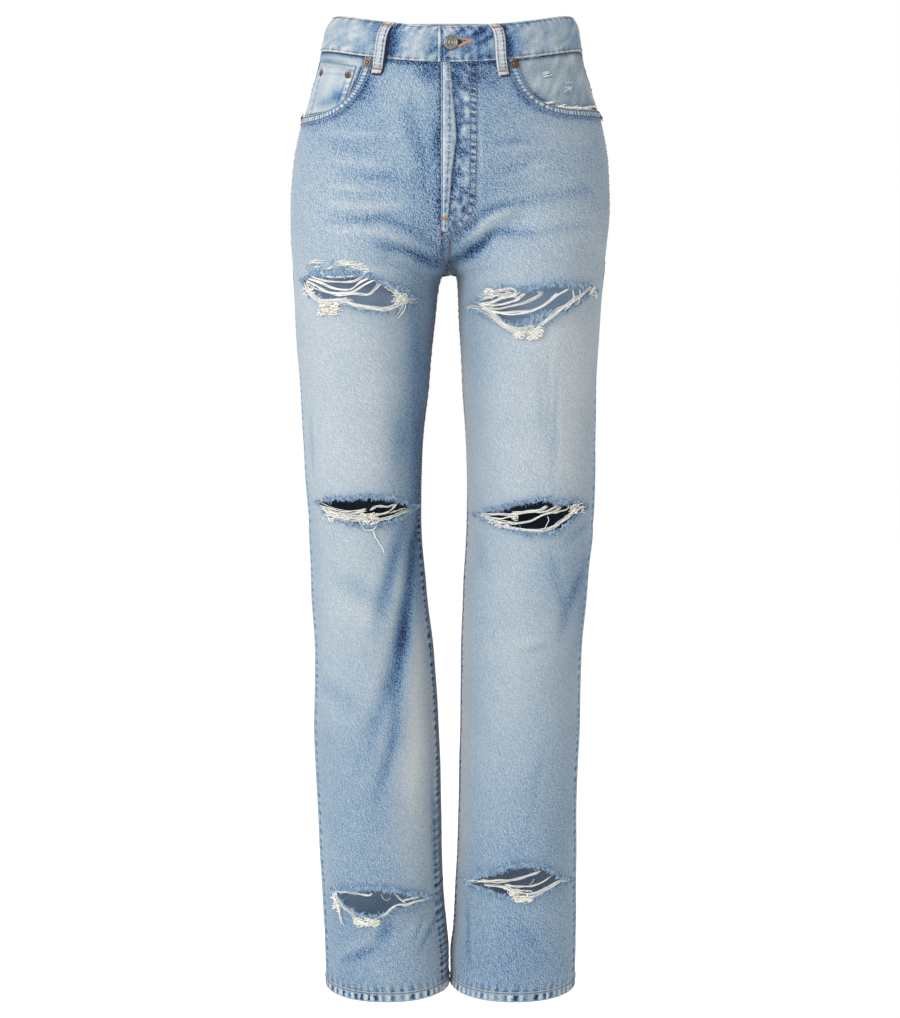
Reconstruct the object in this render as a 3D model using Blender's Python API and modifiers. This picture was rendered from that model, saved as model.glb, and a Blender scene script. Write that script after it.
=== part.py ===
"""Ripped five-pocket jeans in washed denim, standing open as if worn, with nobody inside.

The legs and the seat are lofted from one table of level sections. Each panel is a wall of cloth cut
from that surface between its own seams, and everything sewn on a panel is made from the panel's
points, moved outwards. Metres, +Z up. The front faces -Y, and right and left are the wearer's.
The origin is the middle of the waist, level with the waistband seam at the sides.
"""

import math

import bmesh
import bpy
import numpy as np
from mathutils import Vector

MM = 0.001

# ---------------------------------------------------------------- driving sizes, in millimetres
OUTSEAM = 1040.0  # height of the waistband seam at the side
FOOT = -5.5  # the hem's edge, a little under the level that heights are counted from
CROTCH = 799.0  # height of the crotch
BAND_HEIGHT = 38.0
HEM_HEIGHT = 12.0
WALL = 1.0  # one layer of denim
BAND_WALL = 2.4  # the folded and faced waistband
HEM_WALL = 2.2  # the leg turned up twice
GAP = 0.3  # left between neighbouring pieces

# Level sections of the two legs and, above the crotch, of the seat. Heights are counted from just above
# the hem's edge, x runs to the wearer's left, and y to the back. "side" is the y of the widest point.
SECTION_COLUMNS = ("height", "right_outer", "right_inner", "left_inner", "left_outer", "front", "back", "side")
SECTIONS = (
    (-5.5, -141.5, -1, 1, 142.5, -66, 82, 8),
    (30, -142.5, -1, 1, 143.5, -67, 82, 8),
    (60, -143.7, -3.5, 4.5, 144.2, -67, 82, 8),
    (110, -146, -8, 7.2, 143.8, -68, 81, 7),
    (200, -150, -10, 10.8, 143.5, -70, 80, 6),
    (290, -153.5, -12.5, 12.5, 146.5, -72, 79, 5),
    (370, -152, -17.5, 13.5, 148, -74, 76, 3),
    (450, -155.5, -26, 15.5, 154, -77, 72, 0),
    (540, -158.5, -32.5, 20, 161, -80, 70, -3),
    (600, -162, -31.5, 19, 161.5, -84, 74, -2),
    (680, -166, -24, 14.5, 162, -90, 84, 0),
    (750, -171, -17, 10.5, 166, -96, 95, 3),
    (790, -173, -12, 8.5, 169.5, -100, 103, 5),
    (802, -174, -7, 7, 171, -101, 106, 6),
    (812, -174.5, -2, 2, 172, -102, 110, 6.5),
    (835, -175.5, 0, 0, 173.5, -104, 118, 7),
    (875, -175.5, 0, 0, 176, -107, 127, 8),
    (920, -172, 0, 0, 174, -108, 129, 8),
    (960, -164, 0, 0, 167.5, -106, 124, 6),
    (1000, -151.5, 0, 0, 155.5, -101, 112, 3),
    (1040, -140.3, 0, 0, 143.5, -95, 100, 0),
    (1061, -135.5, 0, 0, 140.3, -93, 97.5, 0),
    (1070, -131.5, 0, 0, 137.8, -92, 96.5, 0),
    (1080, -122, 0, 0, 129, -91, 95, 0),
)
ROUNDNESS = 2.12  # exponent of the section curves: 2 is an ellipse, more is squarer

# How far the seams run in front of the widest points, measured along the cloth.
SEAM_COLUMNS = ("height", "outseam", "right_inseam", "left_inseam")
SEAMS = (
    (-5.5, 27, 27, 10),
    (420, 27, 27, 10),
    (520, 26, 22, 8),
    (600, 25, 8, 3),
    (680, 20, 0, 0),
    (780, 8, 0, 0),
    (880, 0, 0, 0),
    (1080, 0, 0, 0),
)

FRONT_CURVE = 85.0  # height over which the crotch seam curves up to the front
BACK_CURVE = 115.0
SEAT_BLEND = 130.0  # height over which two thighs become one seat
FLY_X = -8.5  # the fly's edge stands a little to the wearer's right
FRONT_DIP = -20.0
BACK_LIFT = 6.0
DIP_START = 900.0  # height at which the rows begin to follow the waist's dip

# The largest folds: a soft trough of cloth between two points of the front, (x, height) in mm.
FOLD_COLUMNS = ("start", "end", "half_width", "depth")
FOLDS = (
    ((6, 812), (82, 862), 11, 6.0),
    ((-14, 806), (-60, 822), 12, 5.0),
    ((-22, 842), (-92, 872), 14, 3.0),
    ((-30, 520), (-62, 362), 15, 4.5),
    ((150, 470), (128, 380), 14, 3.0),
    ((-22, 92), (-92, 58), 10, 2.5),
)

# Rips: right through the front of a leg. Ends are (x, height); rise and sag are how far the torn edges
# stand above and below the line between the ends, and lean shifts the deepest point along that line.
RIP_COLUMNS = ("name", "leg", "start", "end", "rise", "sag", "lean")
RIPS = (
    ("thigh_right", "right", (-156, 797), (-33, 771), 14, 19, 0.0),
    ("thigh_left", "left", (21, 763), (154, 779), 18, 32, -0.05),
    ("knee_right", "right", (-143, 552), (-38, 546), 10, 20, 0.0),
    ("knee_left", "left", (29, 538), (146, 547), 14, 21, 0.05),
    ("shin_right", "right", (-130, 114), (-20, 106), 13, 18, -0.05),
    ("shin_left", "left", (16, 122), (135, 125), 26, 11, 0.05),
)

# ---------------------------------------------------------------- the worn surface


def smooth_column(table, index, height):
    """One column of a table at any height: a cubic through its rows that never overshoots them."""
    heights = np.array([row[0] for row in table], float)
    values = np.array([row[index] for row in table], float)
    slopes = np.diff(values) / np.diff(heights)
    tangents = np.zeros_like(values)
    tangents[0], tangents[-1] = slopes[0], slopes[-1]
    rising = slopes[:-1] * slopes[1:] > 0
    both = np.where(rising, slopes[:-1] + slopes[1:], 1.0)
    tangents[1:-1] = np.where(rising, 2 * slopes[:-1] * slopes[1:] / both, 0.0)
    i = int(np.clip(np.searchsorted(heights, height) - 1, 0, len(heights) - 2))
    span = heights[i + 1] - heights[i]
    t = (height - heights[i]) / span
    return (
        (1 + 2 * t) * (1 - t) ** 2 * values[i]
        + t * (1 - t) ** 2 * span * tangents[i]
        + t * t * (3 - 2 * t) * values[i + 1]
        + t * t * (t - 1) * span * tangents[i + 1]
    )


def smoothstep(t):
    t = min(1.0, max(0.0, t))
    return t * t * (3 - 2 * t)


SIZES = {}


def sizes(height):
    """The section at a height, as a dictionary by column name."""
    key = round(height, 4)
    if key not in SIZES:
        found = {n: smooth_column(SECTIONS, i, height) for i, n in enumerate(SECTION_COLUMNS) if i}
        found.update({n: smooth_column(SEAMS, i, height) for i, n in enumerate(SEAM_COLUMNS) if i})
        SIZES[key] = found
    return SIZES[key]


def fly_x(height):
    """Where the front seam stands: straight under the fly, and back to the middle at the crotch."""
    return FLY_X + (5.5 * (1 - smoothstep((height - CROTCH) / 25)))


def filled(height, face):
    """(along the crotch seam, at the side): how far the seat has closed between the legs, from 0 to 1."""
    rise = height - CROTCH
    t = min(1.0, rise / (FRONT_CURVE if face == "front" else BACK_CURVE))
    return max(0.0, 1 - (1 - t) ** 2), smoothstep(rise / SEAT_BLEND)


def power_curve(share):
    """The height of the section curve over a point at this share of its half width."""
    return (1 - np.minimum(1.0, np.abs(share)) ** ROUNDNESS) ** (1 / ROUNDNESS)


def half_outline(leg, height, face, steps=120):
    """(x, y) from the widest point of a leg to its inner end, or to the middle above the crotch."""
    row = sizes(height)
    outer, inner, side = row[leg + "_outer"], row[leg + "_inner"], row["side"]
    turn = -1 if face == "front" else 1
    start_y, reach = side + turn * GAP / 2, row[face] - side
    middle, half = (outer + inner) / 2, (outer - inner) / 2
    if height <= CROTCH:
        angle = np.linspace(0, math.pi, 2 * steps)
        x = middle + half * np.sign(np.cos(angle)) * np.abs(np.cos(angle)) ** (2 / ROUNDNESS)
        return x, start_y + reach * np.abs(np.sin(angle)) ** (2 / ROUNDNESS)
    angle = np.linspace(0, math.pi / 2, 2 * steps)
    x = outer * np.cos(angle) ** (2 / ROUNDNESS)
    # Points gather at both ends of a leg's own curve too.
    x = np.unique(np.concatenate([x, middle + half * np.cos(2 * angle)]))
    x = x[::-1] if outer > 0 else x
    x = x[(x * np.sign(outer)) >= 0]
    along_seam, at_side = filled(height, face)
    aside = np.abs(x / outer)
    # Round like a crotch seam at the middle, and easing in gently further out.
    share = at_side + (along_seam ** (0.5 + 4 * aside) - at_side) * (1 - aside) ** 2
    y = (1 - share) * power_curve((x - middle) / half) + share * power_curve(x / outer)
    return x, start_y + reach * y


OUTLINES = {}


def outline(leg, height):
    """(arc, x, y, front length, back length) of a section. Arc 0 is the widest point, the front positive."""
    key = (leg, round(height, 4))
    if key in OUTLINES:
        return OUTLINES[key]
    front, back = (np.array(half_outline(leg, height, face)) for face in ("front", "back"))
    if height <= CROTCH:
        past_front, past_back = back[:, ::-1][:, 1:], front[:, ::-1][:, 1:]
    else:
        other = "left" if leg == "right" else "right"
        past_front = np.array(half_outline(other, height, "front"))[:, ::-1][:, 1:]
        past_back = np.array(half_outline(other, height, "back"))[:, ::-1][:, 1:]
    line = np.concatenate([past_back[:, ::-1], back[:, ::-1], front, past_front], axis=1)
    steps = np.hypot(*np.diff(line, axis=1))
    arc = np.concatenate([[0.0], np.cumsum(steps)])
    arc -= arc[past_back.shape[1] + back.shape[1]]
    last_front = past_back.shape[1] + back.shape[1] + front.shape[1] - 1
    front_length = arc[last_front]
    if height > CROTCH:
        inner = line[0, last_front - front.shape[1] :]
        reach = fly_x(height)
        towards = 1 if leg == "right" else -1
        found = last_front - front.shape[1] + np.searchsorted(towards * inner, towards * reach)
        span = (reach - line[0, found - 1]) / (line[0, found] - line[0, found - 1])
        front_length = arc[found - 1] + span * (arc[found] - arc[found - 1])
    OUTLINES[key] = (arc, line[0], line[1], front_length, -arc[past_back.shape[1]])
    return OUTLINES[key]


def dip(x, y, height, row):
    """How far a level row is moved up or down to follow the waist."""
    reach = row["right_outer"] if x < 0 else row["left_outer"]
    depth = FRONT_DIP if y < row["side"] else BACK_LIFT
    share = smoothstep((height - DIP_START) / (OUTSEAM - DIP_START))
    return depth * share * max(0.0, 1 - (x / reach) ** 2)


def fold_depth(x, height):
    """How far the large folds press the front of the cloth in."""
    total = 0.0
    for start, end, half_width, depth in FOLDS:
        along = ((x - start[0]) * (end[0] - start[0]) + (height - start[1]) * (end[1] - start[1])) / (
            (end[0] - start[0]) ** 2 + (end[1] - start[1]) ** 2
        )
        held = min(1.0, max(0.0, along))
        away = math.hypot(
            x - start[0] - held * (end[0] - start[0]), height - start[1] - held * (end[1] - start[1])
        )
        total += depth * math.exp(-((away / half_width) ** 2))
    return total


def on_cloth(leg, height, arc):
    """A point of the outer surface, in millimetres with z measured from the waist."""
    arcs, xs, ys, _, _ = outline(leg, height)
    row = sizes(height)
    x, y = float(np.interp(arc, arcs, xs)), float(np.interp(arc, arcs, ys))
    z = height - OUTSEAM + dip(x, y, height, row)
    facing = max(0.0, (row["side"] - y) / (row["side"] - row["front"]))
    return Vector((x, y + facing * fold_depth(x, height), z))


def normal_at(leg, height, arc, step=1.5):
    """The outward direction of the cloth at a point."""
    low, high = max(FOOT + 0.5, height - step), height + step
    if height <= CROTCH < high:
        high = CROTCH
    if low < CROTCH < height:
        low = CROTCH + 0.01

    def at(level):
        here, there = outline(leg, height), outline(leg, level)
        share = arc / (here[3] if arc > 0 else here[4])
        return on_cloth(leg, level, share * (there[3] if arc > 0 else there[4]))

    along = on_cloth(leg, height, arc + step) - on_cloth(leg, height, arc - step)
    up = at(high) - at(low)
    found = along.cross(up) if leg == "right" else up.cross(along)
    return found.normalized()


def upright(row):
    """A row whose last normal has no sideways lean, so that panels meet squarely along the middle seams."""
    place, normal = row[-1]
    return row[:-1] + [(place, Vector((0, normal.y, normal.z)).normalized())]


def front_span(leg, height):
    """Arc of the front panel's two edges at a height, half a gap inside its seams."""
    row, length = sizes(height), outline(leg, height)[3]
    return row["outseam"] + GAP / 2, length - row[leg + "_inseam"] - GAP / 2


def back_span(leg, height):
    """Arc of the back panel's two edges, from the outseam round to the inseam or the centre back."""
    row, length = sizes(height), outline(leg, height)[4]
    return row["outseam"] - GAP / 2, -length - row[leg + "_inseam"] + GAP / 2


# ---------------------------------------------------------------- making cloth and hardware

PARTS = bpy.data.collections.new("ripped_jeans")
CUTTERS = bpy.data.collections.new("cutters")


def start_scene():
    for obj in list(bpy.data.objects):
        bpy.data.objects.remove(obj)
    bpy.context.scene.collection.children.link(PARTS)
    bpy.context.scene.collection.children.link(CUTTERS)


def make_material(name, colour, roughness, metallic=0.0):
    material = bpy.data.materials.new(name)
    material.use_nodes = True
    shader = material.node_tree.nodes["Principled BSDF"]
    shader.inputs["Base Color"].default_value = (*colour, 1)
    shader.inputs["Roughness"].default_value = roughness
    shader.inputs["Metallic"].default_value = metallic
    return material


MATERIALS = {
    "denim": make_material("denim", (0.36, 0.50, 0.68), 0.9),
    "denim_pale": make_material("denim_pale", (0.55, 0.65, 0.74), 0.9),
    "button_metal": make_material("button_metal", (0.47, 0.45, 0.40), 0.45, 1.0),
    "rivet_copper": make_material("rivet_copper", (0.24, 0.15, 0.10), 0.5, 1.0),
}


def add_object(name, mesh, material, smooth=False):
    obj = bpy.data.objects.new(name, mesh)
    PARTS.objects.link(obj)
    mesh.materials.append(MATERIALS[material])
    if smooth:
        mesh.shade_smooth()
    return obj


def cloth_wall(name, rows, material="denim", out=0.0, wall=WALL, closed=False):
    """A wall of cloth over a grid of (point, normal): its face stands out from the points, and its back lies a
    wall's thickness further in. A closed wall joins its last column to its first. Every cell is split along the
    same diagonal, so that walls made from one grid lie parallel."""
    mesh = bmesh.new()
    layers = []
    for offset in (out, out - wall):
        layers.append([[mesh.verts.new((p + n * offset) * MM) for p, n in row] for row in rows])
    last, across = len(rows) - 1, len(rows[0])
    around = range(across if closed else across - 1)
    for i in range(last):
        for j in around:
            k = (j + 1) % across
            for layer in layers:
                mesh.faces.new((layer[i][j], layer[i][k], layer[i + 1][k]))
                mesh.faces.new((layer[i][j], layer[i + 1][k], layer[i + 1][j]))
    for i in (0, last):
        for j in around:
            k = (j + 1) % across
            mesh.faces.new((layers[0][i][j], layers[1][i][j], layers[1][i][k], layers[0][i][k]))
    if not closed:
        for j in (0, across - 1):
            for i in range(last):
                mesh.faces.new((layers[0][i][j], layers[1][i][j], layers[1][i + 1][j], layers[0][i + 1][j]))
    bmesh.ops.recalc_face_normals(mesh, faces=mesh.faces)
    data = bpy.data.meshes.new(name)
    mesh.to_mesh(data)
    mesh.free()
    return add_object(name, data, material)


def grid(leg, spans, columns, spacing=None):
    """(point, normal) rows from (height, first arc, last arc) spans, evenly divided or by given shares."""
    shares = spacing if spacing is not None else np.linspace(0, 1, columns + 1)
    made = []
    for height, first, last in spans:
        arcs = [first + s * (last - first) for s in shares]
        made.append([(on_cloth(leg, height, a), normal_at(leg, height, a)) for a in arcs])
    return made


# ---------------------------------------------------------------- panels

POCKET_REACH = {"right": 108.0, "left": 130.0}  # pocket mouth: its width on the cloth from the side seam
POCKET_DEPTH = 63.5  # and how far below the waistband it meets the side seam
POCKET_SQUARENESS = 4.5  # exponent of its curve
POCKET_LEAN = 10.0  # its upper end leans back this far towards the side
SEAM_TOP = OUTSEAM - GAP / 2
LEG_LEVELS = (FOOT + HEM_HEIGHT + GAP, 65, 130, 200, 270, 340, 405, 460, 510, 560, 620, 685, 740, 780)
CURVE_LEVELS = (-1.5, 0.02, 1.2, 5, 13, 27, 50, 85)  # above the crotch
POCKET_LEVELS = (76, 58, 42, 26, 12)  # rows of the pocket bag's mouth, below the waistband seam
FRONT_COLUMNS, BACK_COLUMNS = 12, 12
PLACKET_WIDTH = 10.0


def mouth_outline(leg, steps=12):
    """The pocket mouth as (arc, height): a squarish quarter ellipse from the waistband to the side seam."""
    corners = []
    for i in range(steps + 1):
        angle = math.pi / 2 * i / steps
        depth = POCKET_DEPTH * math.sin(angle) ** (2 / POCKET_SQUARENESS)
        arc = POCKET_REACH[leg] * math.cos(angle) ** (2 / POCKET_SQUARENESS)
        corners.append((arc - POCKET_LEAN * max(0.0, 1 - depth / 30), OUTSEAM - depth))
    top = OUTSEAM + 12
    return [(corners[0][0] - 4, top), *corners, (-14, OUTSEAM - POCKET_DEPTH), (-14, top)]


def front_rows(leg):
    """The grid of a front panel, whose last column is as wide as the fly's edge."""
    levels = list(LEG_LEVELS) + [CROTCH + c for c in CURVE_LEVELS]
    levels += [926, *(OUTSEAM - d for d in POCKET_LEVELS), SEAM_TOP]
    rows = []
    for height in levels:
        first, last = front_span(leg, height)
        arcs = [*np.linspace(first, last - PLACKET_WIDTH, FRONT_COLUMNS), last]
        row = [(on_cloth(leg, height, a), normal_at(leg, height, a)) for a in arcs]
        rows.append(upright(row) if height > CROTCH else row)
    return rows, levels


YOKE_SIDE, YOKE_CENTRE = 40.0, 72.0  # the yoke's depth at the side seam and at the centre back


def yoke_height(share):
    """Height of the yoke seam from the side seam (0) to the centre back (1)."""
    return OUTSEAM - YOKE_SIDE - share * (YOKE_CENTRE - YOKE_SIDE)


def slanted_row(leg, heights, shares):
    """(point, normal) along a back row whose height changes from the side seam to the centre back."""
    row = []
    for height, share in zip(heights, shares, strict=True):
        first, last = back_span(leg, height)
        arc = first + share * (last - first)
        row.append((on_cloth(leg, height, arc), normal_at(leg, height, arc)))
    return row


def back_rows(leg):
    """The grid of a back panel, whose top follows the yoke."""
    levels = list(LEG_LEVELS) + [CROTCH + c for c in CURVE_LEVELS]
    shares = np.linspace(0, 1, BACK_COLUMNS + 1)
    rows = grid(leg, [(h, *back_span(leg, h)) for h in levels], BACK_COLUMNS)
    rows = [upright(row) if h > CROTCH else row for row, h in zip(rows, levels, strict=True)]
    for part in (1 / 3, 2 / 3, 1.0):
        tops = [levels[-1] + part * (yoke_height(s) - GAP / 2 - levels[-1]) for s in shares]
        rows.append(upright(slanted_row(leg, tops, shares)))
    return rows


def yoke(leg):
    shares = np.linspace(0, 1, 9)
    rows = []
    for part in (0.0, 0.5, 1.0):
        low = [yoke_height(s) + GAP / 2 for s in shares]
        rows.append(upright(slanted_row(leg, [b + part * (SEAM_TOP - b) for b in low], shares)))
    return cloth_wall(f"yoke_{leg}", rows)


def hem(leg):
    """The turned-up hem: a thicker ring closed round the foot of the leg."""
    rows = []
    for height in (FOOT, FOOT + HEM_HEIGHT / 2, FOOT + HEM_HEIGHT):
        _, _, _, front, back = outline(leg, height)
        arcs = np.linspace(-back, front, 33)[:-1]
        rows.append([(on_cloth(leg, height, a), normal_at(leg, height, a)) for a in arcs])
    return cloth_wall(f"hem_{leg}", rows, out=0.6, wall=HEM_WALL, closed=True)


def facing_rows(leg, panel, levels):
    """The front panel's grid behind the pocket mouth, and a little under the panel all round it."""
    columns = 9 if leg == "left" else 8
    return [row[:columns] for row, h in zip(panel, levels, strict=True) if h > OUTSEAM - POCKET_LEVELS[0] - 1]


def cut_from_sheet(sheet, leg, corners, operation="INTERSECT"):
    """Keeps or removes what a prism covers; its corners are (arc, height) and it runs along the cloth's normal."""
    centre = [sum(c[i] for c in corners) / len(corners) for i in (0, 1)]
    way = normal_at(leg, centre[1], centre[0]) * 40
    mesh = bmesh.new()
    places = [on_cloth(leg, height, arc) for arc, height in corners]
    face = mesh.faces.new([mesh.verts.new((p - way) * MM) for p in places])
    moved = bmesh.ops.extrude_face_region(mesh, geom=[face])["geom"]
    for vert in (g for g in moved if isinstance(g, bmesh.types.BMVert)):
        vert.co += way * 2 * MM
    trim(sheet, "cut_" + sheet.name, mesh, operation)


def trim(obj, name, mesh, operation):
    """Applies a cutter mesh to an object."""
    bmesh.ops.recalc_face_normals(mesh, faces=mesh.faces)
    data = bpy.data.meshes.new(name)
    mesh.to_mesh(data)
    mesh.free()
    cutter = bpy.data.objects.new(name, data)
    CUTTERS.objects.link(cutter)
    cutter.hide_render = True
    cutter.display_type = "WIRE"
    cut = obj.modifiers.new(name, "BOOLEAN")
    cut.operation = operation
    cut.object = cutter


# The small pocket in the right mouth, as (arc, height below the seam); it is open at the top.
COIN_POCKET = ((28, 15), (92, 16), (90, 58), (34, 56))


def coin_pocket(rows, into):
    sheet = cloth_wall("coin_pocket", rows, out=-into)
    cut_from_sheet(sheet, "right", [(a, OUTSEAM - d) for a, d in COIN_POCKET])


FLY_BOTTOM = 840.0


def fly_placket(panel, levels):
    """The folded edge of the fly, a raised strip on the left front that ends at the bar tack."""
    rows = [row[-2:] for row, height in zip(panel, levels, strict=True) if height > FLY_BOTTOM]
    return cloth_wall("fly_placket", rows, "denim_pale", out=WALL + GAP)


# Back pocket outline, as (distance from its centre line, height) on the right; the left is its mirror.
BACK_POCKET = ((-66, 962), (66, 950), (62, 850), (6, 818), (-58, 856))
BACK_POCKET_CENTRE = 118.0  # from the side seam, along the cloth


def back_pocket(leg, rows):
    sheet = cloth_wall(f"back_pocket_{leg}", [row[1:-1] for row in rows[-8:]], out=WALL + GAP)
    cut_from_sheet(sheet, leg, [(-BACK_POCKET_CENTRE - a, h) for a, h in BACK_POCKET])


# ---------------------------------------------------------------- waistband

OVERLAP = 42.0  # length of waistband that runs on under the button
UNDER_STEP = BAND_WALL + GAP
BAND_OUT = 0.6  # the band stands this far out from the panels
STEP_LENGTH = 16.0


def waist_ring():
    """(leg, arc) stations from under the button, round the right side and the back, to the fly's edge."""
    end_right = outline("right", OUTSEAM)[3]
    end_left = outline("left", OUTSEAM)[3]
    back_right, back_left = outline("right", OUTSEAM)[4], outline("left", OUTSEAM)[4]
    front = np.linspace(end_right + OVERLAP, end_right, 5)
    step = np.linspace(end_right - 1.5, end_right - 1.5 - STEP_LENGTH, 4)
    right = np.linspace(step[-1] - 14, -back_right, 19)
    left = np.linspace(-back_left, end_left - 1.0, 23)[1:]
    return [("right", a) for a in (*front, *step, *right)] + [("left", a) for a in left]


def waistband():
    """One strip of cloth whose first end lies under its last, as a buttoned waistband does."""
    stations = waist_ring()
    end_right = outline("right", OUTSEAM)[3]
    rows = []
    for height in (OUTSEAM + GAP / 2, OUTSEAM + BAND_HEIGHT / 2, OUTSEAM + BAND_HEIGHT):
        row = []
        for leg, arc in stations:
            here, there = outline(leg, OUTSEAM), outline(leg, height)
            share = there[3] / here[3] if arc > 0 else there[4] / here[4]
            place, normal = on_cloth(leg, height, arc * share), normal_at(leg, height, arc * share)
            sunk = UNDER_STEP * (1 - smoothstep((end_right - 1.5 - arc) / STEP_LENGTH)) if leg == "right" else 0
            row.append((place - normal * sunk, normal))
        rows.append(row)
    return cloth_wall("waistband", rows, out=BAND_OUT, wall=BAND_WALL)


LOOP_WIDTH, LOOP_WALL, LOOP_SLACK = 11.0, 1.6, 3.0
LOOP_BELOW = 15.0  # the loop is sewn to the panel this far under the seam
LOOP_SEAT = 0.7  # clears the hollow of the lower back
# A loop's course: height from the waistband seam, and how far it stands off what is under it.
LOOP_COURSE = ((-LOOP_BELOW, 0.0), (-9.0, 0.0), (-4.0, 0.75), (2.0, 1.0), (20.0, 1.0), (31.0, 0.7), (36.5, 0.0))
LOOP_COLUMNS = ("name", "leg", "arc", "slant")  # slant: how far the top leans to the front
BELT_LOOPS = (
    ("belt_loop_front_right", "right", 118.0, -10.0),
    ("belt_loop_front_left", "left", 139.0, -12.0),
    ("belt_loop_side_right", "right", -26.0, 0.0),
    ("belt_loop_side_left", "left", -26.0, 0.0),
    ("belt_loop_back", "right", None, 0.0),
)


def belt_loop(name, leg, arc, slant):
    """A strap sewn down at both ends, standing off the waistband between them."""
    rows = []
    for rise, share in LOOP_COURSE:
        height = OUTSEAM + rise
        centre = -outline(leg, height)[4] if arc is None else arc
        seat = BAND_OUT if rise > -3 else LOOP_SEAT
        off = seat + GAP + LOOP_WALL + LOOP_SLACK * share
        row = []
        lean = slant * (rise - 10) / 50
        for across in (-LOOP_WIDTH / 2, 0, LOOP_WIDTH / 2):
            a = centre + across + lean
            row.append((on_cloth(leg, height, a), normal_at(leg, height, centre) * off))
        rows.append([(p + n, n.normalized()) for p, n in row])
    return cloth_wall(name, rows, "denim_pale", out=0.0, wall=LOOP_WALL)


# ---------------------------------------------------------------- metal

BUTTON_RADIUS = 8.5
# Turned outline of the button, radius and distance out from the waistband.
BUTTON_PROFILE = ((0, 2.6), (5.5, 2.6), (7.2, 2.2), (8.1, 1.6), (8.5, 0.9), (8.1, 0.0), (0, 0.0))
RIVET_PROFILE = ((0, 1.9), (1.5, 1.7), (2.2, 0.9), (3.8, 0.8), (4.6, 0.5), (4.7, 0.0), (0, 0.0))


def turned(name, profile, place, normal, material, steps=20):
    """A turned solid of (radius, height) points, set with its base at a place and its axis along a normal."""
    data = bpy.data.meshes.new(name)
    points = [(r * MM, 0.0, h * MM) for r, h in profile]
    data.from_pydata(points, [(i, i + 1) for i in range(len(points) - 1)], [])
    obj = add_object(name, data, material)
    screw = obj.modifiers.new("turn", "SCREW")
    screw.steps = screw.render_steps = steps
    screw.use_merge_vertices = True
    screw.merge_threshold = 0.00001
    screw.use_smooth_shade = True
    obj.location = place * MM
    obj.rotation_mode = "QUATERNION"
    obj.rotation_quaternion = normal.to_track_quat("Z", "Y")
    return obj


def seated(leg, height, arc, out):
    """A place standing out from the cloth, and the direction away from it."""
    normal = normal_at(leg, height, arc)
    return on_cloth(leg, height, arc) + normal * out, normal


def metalwork():
    button_arc = outline("left", OUTSEAM)[3] - 10.5
    place, normal = seated("left", OUTSEAM + 20, button_arc, BAND_OUT + GAP)
    turned("waist_button", BUTTON_PROFILE, place, normal, "button_metal", steps=28)
    above, below = OUTSEAM - 9.5, OUTSEAM - POCKET_DEPTH - 6.5
    rivets = (
        ("rivet_pocket_right_inner", "right", above, 107.0, GAP),
        ("rivet_pocket_left_inner", "left", above, 129.0, GAP),
        ("rivet_pocket_right_outer", "right", below, 8.0, GAP),
        ("rivet_pocket_left_outer", "left", below, 8.0, GAP),
        ("rivet_coin_inner", "right", OUTSEAM - 22.5, 86.0, GAP - COIN_INTO),
        ("rivet_coin_outer", "right", OUTSEAM - 22.0, 35.0, GAP - COIN_INTO),
    )
    for name, leg, height, arc, out in rivets:
        place, normal = seated(leg, height, arc, out)
        turned(name, RIVET_PROFILE, place, normal, "rivet_copper", steps=16)


# ---------------------------------------------------------------- rips


def rip_edge(rip, upper, steps=9):
    """Points along one torn edge, from the rip's start to its end."""
    _, _, start, end, rise, sag, lean = rip
    points = []
    for i in range(steps + 1):
        t = i / steps
        bow = math.sin(math.pi * t ** (1 + 2 * lean)) ** 0.8
        x = start[0] + t * (end[0] - start[0])
        chord = start[1] + t * (end[1] - start[1])
        points.append((x, chord + (rise if upper else -sag) * bow))
    return points


def cut_rip(rip, panel):
    """Cuts a rip through a front panel with a prism that runs from outside the cloth to the leg's middle."""
    upper, lower = rip_edge(rip, True), rip_edge(rip, False)
    mesh = bmesh.new()
    edge = upper + lower[::-1][1:-1]
    face = mesh.faces.new([mesh.verts.new((x * MM, -0.14, (h - OUTSEAM) * MM)) for x, h in edge])
    moved = bmesh.ops.extrude_face_region(mesh, geom=[face])["geom"]
    for vert in (g for g in moved if isinstance(g, bmesh.types.BMVert)):
        vert.co.y = -0.012
    trim(panel, "cut_" + rip[0], mesh, "DIFFERENCE")


# ---------------------------------------------------------------- assembly

COIN_INTO = WALL + GAP  # the coin pocket lies one layer under the front panel
FACING_INTO = {"right": 2 * (WALL + GAP), "left": WALL + GAP}


def build():
    start_scene()
    for leg in ("right", "left"):
        grid_rows, levels = front_rows(leg)
        panel = cloth_wall(f"front_{leg}", grid_rows)
        cut_from_sheet(panel, leg, mouth_outline(leg), "DIFFERENCE")
        for rip in RIPS:
            if rip[1] == leg:
                cut_rip(rip, panel)
        mouth = facing_rows(leg, grid_rows, levels)
        cloth_wall(f"pocket_facing_{leg}", mouth, out=-FACING_INTO[leg])
        if leg == "right":
            coin_pocket(mouth, COIN_INTO)
        else:
            fly_placket(grid_rows, levels)
        back = back_rows(leg)
        cloth_wall(f"back_{leg}", back)
        back_pocket(leg, back)
        yoke(leg)
        hem(leg)
    waistband()
    for name, leg, arc, slant in BELT_LOOPS:
        belt_loop(name, leg, arc, slant)
    metalwork()


build()
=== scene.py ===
"""Ripped five-pocket jeans in light-wash denim, standing open as if worn, with nobody inside.

Every sheet of cloth is a fine grid on the same worn surface as the frame's solids: one table of level
sections, read in fabric coordinates, (height above the hem, arc from the widest point of the leg), in
millimetres. Folds, seam ridges and puckers are added along the surface's normals, and stitches,
torn threads and fringes are laid on the result. Right and left are the wearer's.
"""

import math

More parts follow.
